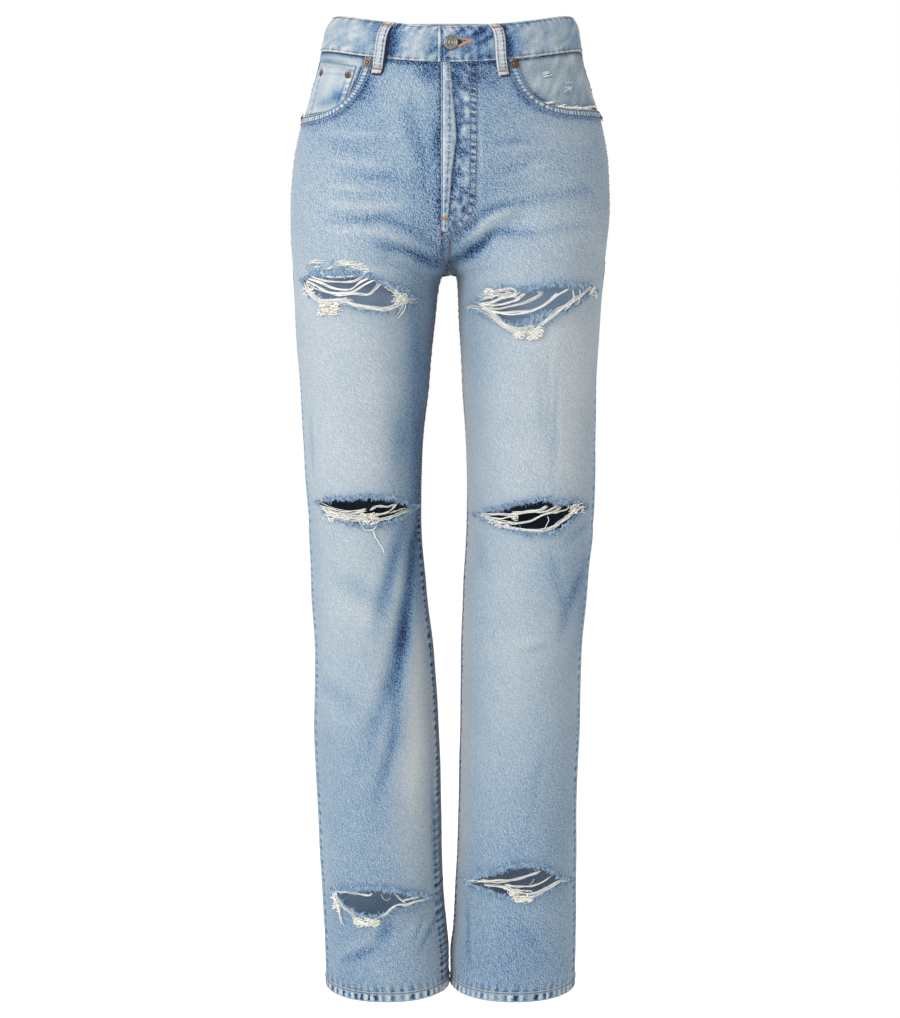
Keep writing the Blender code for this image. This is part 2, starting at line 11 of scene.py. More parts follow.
import bpy
import numpy as np
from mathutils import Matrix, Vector


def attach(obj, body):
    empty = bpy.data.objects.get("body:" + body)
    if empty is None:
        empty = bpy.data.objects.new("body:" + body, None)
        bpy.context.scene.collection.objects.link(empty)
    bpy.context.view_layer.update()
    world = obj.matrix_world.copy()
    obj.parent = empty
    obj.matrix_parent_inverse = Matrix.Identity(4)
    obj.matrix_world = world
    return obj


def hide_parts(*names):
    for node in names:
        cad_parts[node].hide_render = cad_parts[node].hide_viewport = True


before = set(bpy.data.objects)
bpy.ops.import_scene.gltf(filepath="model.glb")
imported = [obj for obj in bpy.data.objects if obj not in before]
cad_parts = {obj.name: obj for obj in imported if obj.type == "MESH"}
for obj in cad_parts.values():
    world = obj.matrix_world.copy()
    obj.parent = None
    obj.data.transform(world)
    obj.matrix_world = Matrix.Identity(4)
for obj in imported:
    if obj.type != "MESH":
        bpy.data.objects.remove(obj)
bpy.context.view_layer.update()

MM = 0.001
OUTSEAM, CROTCH, FOOT, TOP = 1040.0, 799.0, -5.5, 1080.0
HEM_TOP = FOOT + 12.0
ROUNDNESS, OUTLINE_STEPS = 2.12, 240
PANEL_WALL, POCKET_WALL, FLY_WALL, LOOP_WALL, HEM_WALL, BAND_WALL = 0.9, 0.8, 1.0, 1.4, 2.0, 2.2
LEGS = ("right", "left")
# Which way the front's arcs run in x.
WAY = {"right": 1, "left": -1}

# ---------------------------------------------------------------- the worn surface
# One row for each level; heights are above the hem.
SECTION_COLUMNS = (
    "height", "right_outer", "right_inner", "left_inner", "left_outer", "front", "back", "side",
)
SECTIONS = (
    (-5.5, -141.5, -1, 1, 142.5, -66, 82, 8),
    (30, -142.5, -1, 1, 143.5, -67, 82, 8),
    (60, -143.7, -3.5, 4.5, 144.2, -67, 82, 8),
    (110, -146, -8, 7.2, 143.8, -68, 81, 7),
    (200, -150, -10, 10.8, 143.5, -70, 80, 6),
    (290, -153.5, -12.5, 12.5, 146.5, -72, 79, 5),
    (370, -152, -17.5, 13.5, 148, -74, 76, 3),
    (450, -155.5, -26, 15.5, 154, -77, 72, 0),
    (540, -158.5, -32.5, 20, 161, -80, 70, -3),
    (600, -162, -31.5, 19, 161.5, -84, 74, -2),
    (680, -166, -24, 14.5, 162, -90, 84, 0),
    (750, -171, -17, 10.5, 166, -96, 95, 3),
    (790, -173, -12, 8.5, 169.5, -100, 103, 5),
    (802, -174, -7, 7, 171, -101, 106, 6),
    (812, -174.5, -2, 2, 172, -102, 110, 6.5),
    (835, -175.5, 0, 0, 173.5, -104, 118, 7),
    (875, -175.5, 0, 0, 176, -107, 127, 8),
    (920, -172, 0, 0, 174, -108, 129, 8),
    (960, -164, 0, 0, 167.5, -106, 124, 6),
    (1000, -151.5, 0, 0, 155.5, -101, 112, 3),
    (1040, -140.3, 0, 0, 143.5, -95, 100, 0),
    (1061, -135.5, 0, 0, 140.3, -93, 97.5, 0),
    (1070, -131.5, 0, 0, 137.8, -92, 96.5, 0),
    (1080, -122, 0, 0, 129, -91, 95, 0),
)
# How far the seams run in front of the widest points, along the cloth.
SEAM_COLUMNS = ("height", "outseam", "right_inseam", "left_inseam")
SEAMS = (
    (-5.5, 27, 27, 10),
    (420, 27, 27, 10),
    (520, 26, 22, 8),
    (600, 25, 8, 3),
    (680, 20, 0, 0),
    (780, 8, 0, 0),
    (880, 0, 0, 0),
    (1080, 0, 0, 0),
)
FRONT_CURVE, BACK_CURVE, SEAT_BLEND = 85.0, 115.0, 130.0
FLY_X, FRONT_DIP, BACK_LIFT, DIP_START = -8.5, -20.0, 6.0, 900.0
# Big soft troughs of the front, shared with the solids: ends (x, height), half width, depth.
FOLDS = (
    ((6, 812), (82, 862), 11, 6.0),
    ((-14, 806), (-60, 822), 12, 5.0),
    ((-22, 842), (-92, 872), 14, 3.0),
    ((-30, 520), (-62, 362), 15, 4.5),
    ((150, 470), (128, 380), 14, 3.0),
    ((-22, 92), (-92, 58), 10, 2.5),
)


def smoothstep(t):
    """0 up to 0, 1 from 1 on, and an easy rise between."""
    t = np.clip(t, 0.0, 1.0)
    return t * t * (3 - 2 * t)


def bell(place, width, middle=0.0):
    """A bump of height 1 at the middle, down to 1/e one width away from it."""
    return np.exp(-(((place - middle) / width) ** 2))


def run_along(line):
    """Distance from the start of a line to each of its points in a plane."""
    return np.concatenate([[0.0], np.cumsum(np.hypot(*np.diff(line, axis=0).T))])


def paired(height, arc):
    """Both as float arrays of one shape."""
    return np.broadcast_arrays(np.asarray(height, float), np.asarray(arc, float))


def column(table, index, height):
    """One column of a table at any height: a cubic through its rows that never overshoots them."""
    heights = np.array([row[0] for row in table], float)
    values = np.array([row[index] for row in table], float)
    slopes = np.diff(values) / np.diff(heights)
    tangents = np.zeros_like(values)
    tangents[0], tangents[-1] = slopes[0], slopes[-1]
    rising = slopes[:-1] * slopes[1:] > 0
    both = np.where(rising, slopes[:-1] + slopes[1:], 1.0)
    tangents[1:-1] = np.where(rising, 2 * slopes[:-1] * slopes[1:] / both, 0.0)
    height = np.asarray(height, float)
    i = np.clip(np.searchsorted(heights, height) - 1, 0, len(heights) - 2)
    span = heights[i + 1] - heights[i]
    t = (height - heights[i]) / span
    return (
        (1 + 2 * t) * (1 - t) ** 2 * values[i]
        + t * (1 - t) ** 2 * span * tangents[i]
        + t * t * (3 - 2 * t) * values[i + 1]
        + t * t * (t - 1) * span * tangents[i + 1]
    )


def section_value(name, height):
    """A named column of SECTIONS at any height."""
    return column(SECTIONS, SECTION_COLUMNS.index(name), height)


def seam_value(name, height):
    """A named column of SEAMS at any height."""
    return column(SEAMS, SEAM_COLUMNS.index(name), height)


def half_outline(leg, height, face):
    """(x, y) from the widest point of a leg to its inner end, or to the middle above the crotch."""
    outer, inner = float(section_value(leg + "_outer", height)), float(section_value(leg + "_inner", height))
    side = float(section_value("side", height))
    reach = float(section_value(face, height)) - side
    start = side + (-0.15 if face == "front" else 0.15)
    middle, half = (outer + inner) / 2, (outer - inner) / 2
    power = 2 / ROUNDNESS
    if height <= CROTCH:
        angle = np.linspace(0, math.pi, OUTLINE_STEPS)
        x = middle + half * np.sign(np.cos(angle)) * np.abs(np.cos(angle)) ** power
        return x, start + reach * np.abs(np.sin(angle)) ** power
    angle = np.linspace(0, math.pi / 2, OUTLINE_STEPS)
    x = np.unique(np.concatenate([outer * np.cos(angle) ** power, middle + half * np.cos(2 * angle)]))
    x = x[::-1] if outer > 0 else x
    x = x[(x * np.sign(outer)) >= 0]
    rise = height - CROTCH
    t = min(1.0, rise / (FRONT_CURVE if face == "front" else BACK_CURVE))
    aside = np.abs(x / outer)
    at_side = float(smoothstep(rise / SEAT_BLEND))
    share = at_side + ((1 - (1 - t) ** 2) ** (0.5 + 4 * aside) - at_side) * (1 - aside) ** 2

    def curve(s):
        return (1 - np.minimum(1.0, np.abs(s)) ** ROUNDNESS) ** (1 / ROUNDNESS)

    return x, start + reach * ((1 - share) * curve((x - middle) / half) + share * curve(x / outer))


def outline(leg, height):
    """(arc, x, y, front length, back length) of a section."""
    front, back = (np.array(half_outline(leg, height, face)) for face in ("front", "back"))
    if height <= CROTCH:
        past_front, past_back = back[:, ::-1][:, 1:], front[:, ::-1][:, 1:]
    else:
        other = "left" if leg == "right" else "right"
        past_front = np.array(half_outline(other, height, "front"))[:, ::-1][:, 1:]
        past_back = np.array(half_outline(other, height, "back"))[:, ::-1][:, 1:]
    line = np.concatenate([past_back[:, ::-1], back[:, ::-1], front, past_front], axis=1)
    arc = run_along(line.T)
    arc -= arc[past_back.shape[1] + back.shape[1]]
    last = past_back.shape[1] + back.shape[1] + front.shape[1] - 1
    length = arc[last]
    if height > CROTCH:
        fly = FLY_X + 5.5 * (1 - float(smoothstep((height - CROTCH) / 25)))
        window = slice(last - front.shape[1] // 3, last + front.shape[1] // 3)
        way = WAY[leg]
        length = float(np.interp(way * fly, way * line[0, window], arc[window]))
    return arc, line[0], line[1], length, -arc[past_back.shape[1]]


class Surface:
    """One leg's surface as a table of sections, read anywhere by (height, arc)."""

    STEP, REACH = 1.5, 345.0

    def __init__(self, leg):
        self.leg = leg
        near = CROTCH + np.array([0.02, 0.2, 0.5, 1, 1.7, 2.6, 3.8, 5.2, 7, 9, 11.5])
        self.heights = np.concatenate(
            [
                np.arange(FOOT, 790, 4.0), np.arange(CROTCH - 6, CROTCH + 0.5), near,
                np.arange(814, 866, 2.5), np.arange(868, 1082, 4.0),
            ]
        )
        self.arcs = np.arange(-self.REACH, self.REACH + self.STEP, self.STEP)
        rows = [outline(leg, float(h)) for h in self.heights]
        self.x = np.array([np.interp(self.arcs, r[0], r[1]) for r in rows])
        self.y = np.array([np.interp(self.arcs, r[0], r[2]) for r in rows])
        self.lengths = {1: np.array([r[3] for r in rows]), -1: np.array([r[4] for r in rows])}

    def length(self, face, height):
        return np.interp(height, self.heights, self.lengths[face])

    def flat(self, height, arc):
        """x and y by linear reading of the table."""
        height, arc = paired(height, arc)
        height = np.clip(height, FOOT, self.heights[-1] - 0.01)
        i = np.clip(np.searchsorted(self.heights, height, side="right") - 1, 0, len(self.heights) - 2)
        t = (height - self.heights[i]) / (self.heights[i + 1] - self.heights[i])
        place = np.clip((arc + self.REACH) / self.STEP, 0, len(self.arcs) - 1.001)
        j = place.astype(int)
        s = place - j
        found = []
        for table in (self.x, self.y):
            low = table[i, j] * (1 - s) + table[i, j + 1] * s
            high = table[i + 1, j] * (1 - s) + table[i + 1, j + 1] * s
            found.append(low * (1 - t) + high * t)
        return found

    def base(self, height, arc):
        """Points of the smooth worn surface, with the big folds, as (..., 3) in millimetres."""
        height, arc = paired(height, arc)
        x, y = self.flat(height, arc)
        side, front = section_value("side", height), section_value("front", height)
        reach = np.where(x < 0, section_value("right_outer", height), section_value("left_outer", height))
        depth = np.where(y < side, FRONT_DIP, BACK_LIFT)
        rise = smoothstep((height - DIP_START) / (OUTSEAM - DIP_START))
        dip = depth * rise * np.maximum(0, 1 - (x / reach) ** 2)
        facing = np.maximum(0.0, (side - y) / (side - front))
        pressed = np.zeros_like(x)
        for start, end, half_width, press in FOLDS:
            pressed += press * bell(segment_distance(x, height, start, end)[0], half_width)
        return np.stack([x, y + facing * pressed, height - OUTSEAM + dip], axis=-1)

    def normal(self, height, arc, step=1.5):
        height, arc = paired(height, arc)
        low, high = np.maximum(FOOT + 0.1, height - step), np.minimum(TOP, height + step)
        high = np.where(height <= CROTCH, np.minimum(high, CROTCH), high)
        low = np.where(height > CROTCH, np.maximum(low, CROTCH + 0.02), low)
        face = np.where(arc > 0, 1, -1)

        def moved(level):
            share = np.where(
                face > 0,
                self.length(1, level) / self.length(1, height),
                self.length(-1, level) / self.length(-1, height),
            )
            return self.base(level, arc * share)

        along = self.base(height, arc + step) - self.base(height, arc - step)
        up = moved(high) - moved(low)
        found = np.cross(along, up) if self.leg == "right" else np.cross(up, along)
        return found / np.maximum(1e-9, np.linalg.norm(found, axis=-1, keepdims=True))

    def off(self, height, arc, away, facing=None):
        """Points off the smooth surface, along its normals there or at the arcs of facing."""
        normal = self.normal(height, arc if facing is None else facing)
        return self.base(height, arc) + normal * np.asarray(away)[..., None]

    def arc_of(self, face, x, height):
        """Arc of the point of one face (1 front, -1 back) at this x."""
        arcs = np.linspace(0, float(self.length(face, height)), 240) * face
        xs = self.flat(np.full(240, height), arcs)[0]
        order = np.argsort(xs)
        return float(np.interp(x, xs[order], arcs[order]))


def value_noise(u, v, seed):
    """Smooth lattice noise from -1 to 1, one cell per unit."""
    iu, iv = np.floor(u), np.floor(v)
    fu, fv = smoothstep(u - iu), smoothstep(v - iv)

    def corner(a, b):
        mixed = np.sin(a * 12.9898 + b * 78.233 + seed * 37.719) * 4375.8545
        return (mixed - np.floor(mixed)) * 2 - 1

    low = corner(iu, iv) * (1 - fu) + corner(iu + 1, iv) * fu
    high = corner(iu, iv + 1) * (1 - fu) + corner(iu + 1, iv + 1) * fu
    return low * (1 - fv) + high * fv


def segment_distance(x, h, start, end):
    """(distance, share along) from points to a segment in a plane."""
    dx, dh = end[0] - start[0], end[1] - start[1]
    share = np.clip(((x - start[0]) * dx + (h - start[1]) * dh) / (dx * dx + dh * dh), 0, 1)
    return np.hypot(x - start[0] - share * dx, h - start[1] - share * dh), share


SURFACES = {leg: Surface(leg) for leg in LEGS}

# ---------------------------------------------------------------- creases
# By leg and face: points as (x, height), half width, depth; under a face of 0 the points are (arc, height).
CREASES = {
    ("right", 1): (
        (((-47, 535), (-58, 500), (-65, 470), (-73, 445), (-80, 415)), 8, 1.8),
        (((-35, 528), (-41, 504), (-44, 456), (-50, 407), (-59, 367), (-72, 334), (-85, 302)), 9, 2.6),
        (((-52, 374), (-57, 336), (-62, 287), (-71, 257), (-82, 225)), 7, 1.6),
        (((-51, 498), (-57, 447), (-68, 400)), 4, -0.4), (((-139, 952), (-95, 950), (-53, 948)), 4.5, -1.0),
        (((-124, 934), (-89, 931)), 6, 0.7), (((-128, 921), (-92, 916), (-56, 911)), 4, -0.8),
        (((-111, 903), (-70, 900), (-32, 896)), 6, 0.9), (((-126, 893), (-88, 887)), 3.5, -0.9),
        (((-130, 874), (-95, 870), (-45, 871)), 5, -1.2),
        (((-127, 855), (-84, 857), (-71, 857), (-53, 852), (-32, 841), (-18, 831)), 4.2, 1.4),
        (((-127, 845), (-74, 842), (-47, 835), (-18, 823)), 4.5, -1.0),
        (((-79, 831), (-63, 827), (-42, 822), (-27, 814), (-8, 808)), 4.2, 1.9),
        (((-11, 93), (-22, 70), (-36, 46)), 4, 1.3), (((-28, 90), (-40, 62)), 3.5, 0.9),
        (((-44, 990), (-30, 930), (-27, 880)), 8, 1.2), (((-80, 58), (-99, 49), (-120, 37)), 5, 1.8),
        (((-63, 92), (-78, 62)), 7, 1.6), (((-122, 470), (-66, 440)), 12, 1.0),
        (((-142, 352), (-104, 330)), 12, 0.9), (((-152, 655), (-149, 585)), 5, 0.8),
    ),
    ("right", -1): (
        (((-22, 806), (-70, 790), (-128, 792)), 10, 3.0), (((-24, 776), (-66, 760), (-112, 764)), 8, 2.0),
        (((-34, 742), (-84, 724)), 9, 1.3), (((-42, 566), (-82, 552), (-130, 560)), 8, 2.8),
        (((-50, 534), (-118, 524)), 7, 2.2), (((-46, 600), (-106, 612)), 8, 1.6),
        (((-60, 500), (-128, 508)), 9, 1.4), (((-40, 330), (-96, 300), (-128, 306)), 11, 1.4),
        (((-30, 120), (-76, 92)), 8, 1.5), (((-60, 60), (-118, 44)), 6, 1.6),
    ),
    ("right", 0): (
        (((-6, 560), (12, 520), (6, 470)), 8, 1.6), (((-20, 640), (10, 600)), 9, 1.2),
        (((-12, 840), (14, 800), (10, 760)), 12, 1.5), (((-30, 90), (4, 60)), 7, 1.4),
    ),
    ("left", 1): (
        (((3, 836), (21, 848), (34, 861), (47, 868), (63, 873), (80, 876)), 4, 1.7),
        (((76, 876), (112, 882), (150, 889)), 5, 0.8),
        (((8, 830), (30, 846), (45, 859), (63, 865), (86, 863)), 5, -1.3),
        (((-3, 805), (16, 817), (32, 829), (42, 839), (53, 844), (69, 843), (88, 842)), 4.5, 2.8),
        (((84, 842), (116, 846), (150, 853)), 5, 0.8), (((56, 941), (84, 942)), 5, 0.7),
        (((50, 907), (68, 910), (86, 916)), 4.5, 0.8), (((74, 909), (106, 914)), 5, -0.8),
        (((48, 932), (96, 935)), 4, -0.7), (((108, 505), (120, 458), (127, 420)), 6, 0.7),
        (((78, 391), (108, 398)), 4, 1.0), (((104, 292), (94, 236), (86, 192)), 4, 0.6),
        (((104, 721), (107, 640), (110, 560)), 3.2, 0.9), (((95, 710), (100, 625)), 3, 0.7),
        (((113, 690), (114, 592)), 3, 0.8), (((150, 488), (132, 446), (121, 404)), 8, 1.5),
        (((152, 532), (124, 508)), 6, 0.9), (((62, 88), (104, 58)), 12, 0.4),
        (((18, 106), (20, 28)), 4.5, 1.0), (((28, 520), (40, 470)), 9, 0.4),
    ),
    ("left", -1): (
        (((24, 802), (76, 786), (126, 794)), 10, 2.8), (((28, 768), (84, 756)), 8, 2.2),
        (((40, 730), (104, 716)), 10, 1.2), (((44, 558), (92, 546), (134, 556)), 8, 2.6),
        (((40, 590), (116, 598)), 8, 1.8), (((52, 520), (120, 530)), 7, 2.0),
        (((48, 488), (98, 482)), 9, 1.2), (((36, 280), (104, 310)), 12, 1.3),
        (((34, 100), (96, 118)), 8, 1.5), (((40, 46), (112, 62)), 6, 1.3),
    ),
    ("left", 0): (
        (((-10, 548), (14, 512), (4, 462)), 8, 1.7), (((-24, 660), (8, 612)), 9, 1.2),
        (((-14, 852), (16, 806), (8, 764)), 12, 1.4), (((-34, 70), (6, 52)), 7, 1.3),
    ),
}


def laid_creases():
    """The creases with their points in fabric coordinates."""
    laid = {leg: [] for leg in LEGS}
    for (leg, face), rows in CREASES.items():
        for points, half_width, depth in rows:
            path = [(SURFACES[leg].arc_of(face, x, h), h) if face else (x, h) for x, h in points]
            laid[leg].append((path, half_width, depth))
    return laid


LAID = laid_creases()


def crease_relief(leg, height, arc):
    """A trough along each crease with a softer ridge beside it, fading to both ends."""
    total = np.zeros(np.broadcast(height, arc).shape)
    for path, width, depth in LAID[leg]:
        lengths = [math.dist(a, b) for a, b in zip(path, path[1:])]
        whole, done = sum(lengths), 0.0
        best = np.full(total.shape, 1e9)
        along = np.zeros(total.shape)
        for (a, b), length in zip(zip(path, path[1:]), lengths):
            away, share = segment_distance(arc, height, a, b)
            side = np.sign((arc - a[0]) * (b[1] - a[1]) - (height - a[1]) * (b[0] - a[0]))
            nearer = away < np.abs(best)
            best = np.where(nearer, away * np.where(side == 0, 1, side), best)
            along = np.where(nearer, (done + share * length) / whole, along)
            done += length
        fade = np.clip(np.sin(math.pi * (0.06 + 0.88 * along)), 0, 1) ** 0.8
        total -= depth * fade * (bell(best, width) - 0.24 * bell(best, 1.2 * width, 1.9 * width))
    return total


def pucker(v):
    """An uneven wave along a seam, about one crest per 9 mm; Shader.pucker is the same in nodes."""
    slow = 2.6 * np.sin(v / 17.0) + 1.7 * np.sin(v / 43.0)
    wave = np.sin(v / 1.45 + slow) + 0.3 * np.sin(v / 0.83 + 1.7 * slow)
    return np.tanh(0.9 * (wave + 0.35 * np.sin(v / 3.1)))


def seam_places(leg, height, arc):
    """(distance to the outseam, to the inseam or middle seam), both along the cloth."""
    surface = SURFACES[leg]
    to_out = np.abs(arc - seam_value("outseam", height))
    inseam = seam_value(leg + "_inseam", height)
    to_front = surface.length(1, height) - inseam - arc
    to_back = surface.length(-1, height) + inseam + arc
    return to_out, np.where(arc > seam_value("outseam", height), to_front, to_back)


def surface_end(leg, height):
    """Arc of a front's inner end: the inner side of the leg, or the fly."""
    return SURFACES[leg].length(1, height)


# The two curved rows of stitches on the left front: height and distance from the fly's edge.
FLY_ROWS = {
    "inner": (
        (1036, 30.5), (990, 30), (893, 29.6), (874, 28.6), (864, 26.4), (856, 20.9), (850.6, 12.6),
        (847.7, 7.3), (846, 2),
    ),
    "outer": (
        (1036, 36.8), (900, 36.2), (881, 35.4), (870, 33.3), (859.4, 31.2), (851.5, 25.7), (846, 19.1),
        (842, 12.5), (838.6, 1.5),
    ),
}


def fly_row(which, count=60):
    """One of the fly's curved rows as (height, arc) points at even steps."""
    line = np.array(FLY_ROWS[which])
    run = run_along(line)
    height, away = (np.interp(np.linspace(0, run[-1], count), run, part) for part in line.T)
    return np.stack([height, surface_end("left", height) - away], axis=1)


def along_line(line, height, arc):
    """(distance to a line of (height, arc) points, distance along it)."""
    best, along, done = np.full(np.shape(height), 1e9), np.zeros(np.shape(height)), 0.0
    for a, b in zip(line, line[1:]):
        away, share = segment_distance(arc, height, a[::-1], b[::-1])
        length = math.dist(a, b)
        along = np.where(away < best, done + share * length, along)
        best = np.minimum(best, away)
        done += length
    return best, along


def sewn_inside(height, arc):
    """1 where a panel's inner edge is a seam, and 0 along the fly."""
    return np.where((height > CROTCH) & (arc > 0), 0.0, 1.0)


def gathers(leg, height, arc):
    """(run, weight): how far each point is along its nearest puckered seam, and how strongly it puckers."""
    height, arc = paired(height, arc)
    to_out, to_in = seam_places(leg, height, arc)
    shift = 400.0 if leg == "right" else 1300.0
    wide = (9.0 if leg == "right" else 0.0) * smoothstep((235 - height) / 60)
    beyond = np.maximum(0, to_in - 3 - wide * (1 + 1.5 * (arc < 0)))
    parts = [
        (height + shift, 0.30 * bell(to_out, 4.5, 2)),
        (height * 1.1 + 2 * shift, sewn_inside(height, arc) * 0.50 * bell(beyond, 4.0)),
        (arc * 0.95 + 0.1 * height + 3 * shift, 0.34 * bell(height, 6.5, HEM_TOP)),
    ]
    if leg == "left":
        away, along = along_line(fly_row("inner", 24) - (0.5, 3.2), height, arc)
        parts.append((along * 1.05 + 4 * shift, 0.50 * bell(away, 3.4) * (arc > 0)))
    runs, weights = (np.stack(part) for part in zip(*parts))
    weights *= 0.85 + 0.35 * value_noise(runs / 19, 0 * runs, 2.0)
    best = np.argmax(weights, axis=0)[None]
    ranked = np.sort(weights, axis=0)
    return np.take_along_axis(runs, best, axis=0)[0], ranked[-1] - ranked[-2]


def valley(height, beside):
    """The hollow beside the fly's ridge; fade also paints it darker, as painted shade."""
    shape = 0.7 * bell(beside, 1.6, 1.2) + 0.4 * bell(beside, 3.5, 3.5)
    return shape * smoothstep((height - 852) / 12) * (0.35 + 0.65 * smoothstep((1000 - height) / 40))


def relief(leg, height, arc):
    """How far the cloth stands off the smooth surface."""
    height, arc = paired(height, arc)
    total = crease_relief(leg, height, arc)
    total += 0.35 * np.sin(height / 37.0 + arc / 29.0) * np.sin(arc / 41.0 - height / 63.0 + 1.0)
    total += 0.22 * np.sin(height / 15.0 - arc / 21.0 + 2.0) * np.sin(arc / 17.0 + height / 44.0)
    to_out, to_in = seam_places(leg, height, arc)
    run, weight = gathers(leg, height, arc)
    total += 1.1 * weight * pucker(run) - 0.9 * bell(to_out, 1.6)
    ridge = smoothstep((10.5 - np.abs(to_in)) / 2.0)
    total += sewn_inside(height, arc) * (0.5 * ridge - 0.9 * bell(to_in, 1.3))
    if leg == "left":
        beside = surface_end(leg, height) - placket_width(height) - arc
        total += 0.9 * fly_rumple(height, arc) - 1.0 * valley(height, beside)
    return total + rip_flare(leg, height, arc)


def skin(leg, height, arc, out=0.0):
    """Points standing out from the folded cloth."""
    return SURFACES[leg].off(height, arc, relief(leg, height, arc) + out)


# ---------------------------------------------------------------- rips
# Torn edges of each rip: x, height of the upper edge, height of the lower edge.
RIPS = {
    "thigh_right": (
        (-158, 794, 792), (-154, 797, 783), (-148, 799, 776), (-133, 799, 771), (-111, 799, 769),
        (-95, 800, 764), (-88, 799, 762), (-74, 792, 760), (-59, 786, 763), (-48, 781, 767), (-39, 775, 769),
        (-33, 771, 770),
    ),
    "thigh_left": (
        (19, 763, 762), (30, 769, 760), (39, 780, 757), (54, 786, 750), (71, 783, 743), (86, 785, 742),
        (99, 788, 746), (107, 789, 752), (120, 790, 760), (136, 788, 769), (149, 787, 778), (156, 782, 781),
    ),
    "knee_right": (
        (-143, 553, 552), (-136, 557, 544), (-124, 559, 538), (-103, 561, 531), (-90, 562, 529),
        (-76, 561, 531), (-63, 559, 534), (-54, 555, 537), (-46, 550, 541), (-38, 546, 545),
    ),
    "knee_left": (
        (29, 538, 537), (42, 545, 534), (53, 548, 530), (65, 552, 526), (79, 556, 522), (97, 559, 521),
        (109, 558, 521), (122, 554, 527), (131, 555, 534), (141, 555, 541), (147, 549, 546),
    ),
    "shin_right": (
        (-130, 116, 115), (-126, 119, 108), (-110, 122, 99), (-101, 124, 95), (-90, 126, 92), (-76, 126, 94),
        (-65, 124, 101), (-49, 120, 102), (-33, 114, 104), (-20, 106, 105),
    ),
    "shin_left": (
        (16, 123, 122), (29, 133, 123), (41, 139, 121), (52, 144, 118), (67, 151, 116), (77, 152, 113),
        (85, 153, 114), (100, 150, 119), (110, 144, 123), (119, 137, 125), (133, 125, 124),
    ),
}


def rip_leg(name):
    return "right" if name.endswith("right") else "left"


def rips_of(leg):
    """(name, rows) of each rip of a leg."""
    return [(name, np.array(rows, float)) for name, rows in RIPS.items() if rip_leg(name) == leg]


def ragged(x, seed):
    """The small ups and downs of a frayed edge."""
    return 0.8 * np.sin(x / 1.9 + seed) + 0.6 * np.sin(x / 0.83 + 2 * seed) + 0.5 * np.sin(x / 4.7 + 3 * seed)


def rip_edges(name, x, rough=1.0):
    """Heights of a rip's upper and lower edge at each x."""
    rows = np.array(RIPS[name], float)
    seed = len(name) + rows[0, 1] / 100
    ends = np.clip(np.minimum(x - rows[0, 0], rows[-1, 0] - x) / 8.0, 0, 1)
    up = np.interp(x, rows[:, 0], rows[:, 1]) + rough * ends * ragged(x, seed)
    low = np.interp(x, rows[:, 0], rows[:, 2]) + rough * ends * ragged(x, seed + 4)
    return up, low


def placket_width(height):
    """How far the fly's raised fold reaches in from its edge."""
    return np.interp(
        height, [845, 859, 869, 893, 916, 943, 952, 987, 1015, 1036],
        [6.4, 6.8, 7.6, 9.4, 12.0, 14.9, 14.9, 12.8, 10.6, 8.8],
    )


def fly_rumple(height, arc):
    """The puckered cloth between the fly's edge and its curved stitching, from -1 to 1."""
    line = fly_row("inner")[::-1]
    start = np.interp(height, line[:, 0], line[:, 1]) - 1.0
    last = surface_end("left", height)
    inside = smoothstep((arc - start) / 5.0) * smoothstep((last - arc + 2) / 3.0)
    inside = inside * smoothstep((height - 842) / 14.0) * (arc > 0)
    wave = value_noise((arc + 0.35 * height) / 6.0, (height - 0.5 * arc) / 9.0, 3.0)
    wave += 0.9 * value_noise((arc - 0.5 * height) / 4.0, (height + 0.6 * arc) / 5.5, 9.0)
    return inside * np.clip(wave, -1.2, 1.2)


def rip_flare(leg, height, arc):
    """The cloth lifts a little along the torn edges, more below the hole than above it."""
    total = np.zeros(height.shape)
    for name, rows in rips_of(leg):
        tops, bottoms = rows[:, 1].max(), rows[:, 2].min()
        near = (height > bottoms - 30) & (height < tops + 30) & (arc > 0)
        if not near.any():
            continue
        x = SURFACES[leg].flat(height[near], arc[near])[0]
        up, low = rip_edges(name, x, 0.0)
        inside = smoothstep(np.minimum(x - rows[0, 0], rows[-1, 0] - x) / 25.0)
        above = 1.1 * bell(height[near], 7.0, up) * (height[near] > (up + low) / 2)
        below = 2.2 * bell(height[near], 8.0, low) * (height[near] <= (up + low) / 2)
        total[near] += inside * (above + below)
    return total
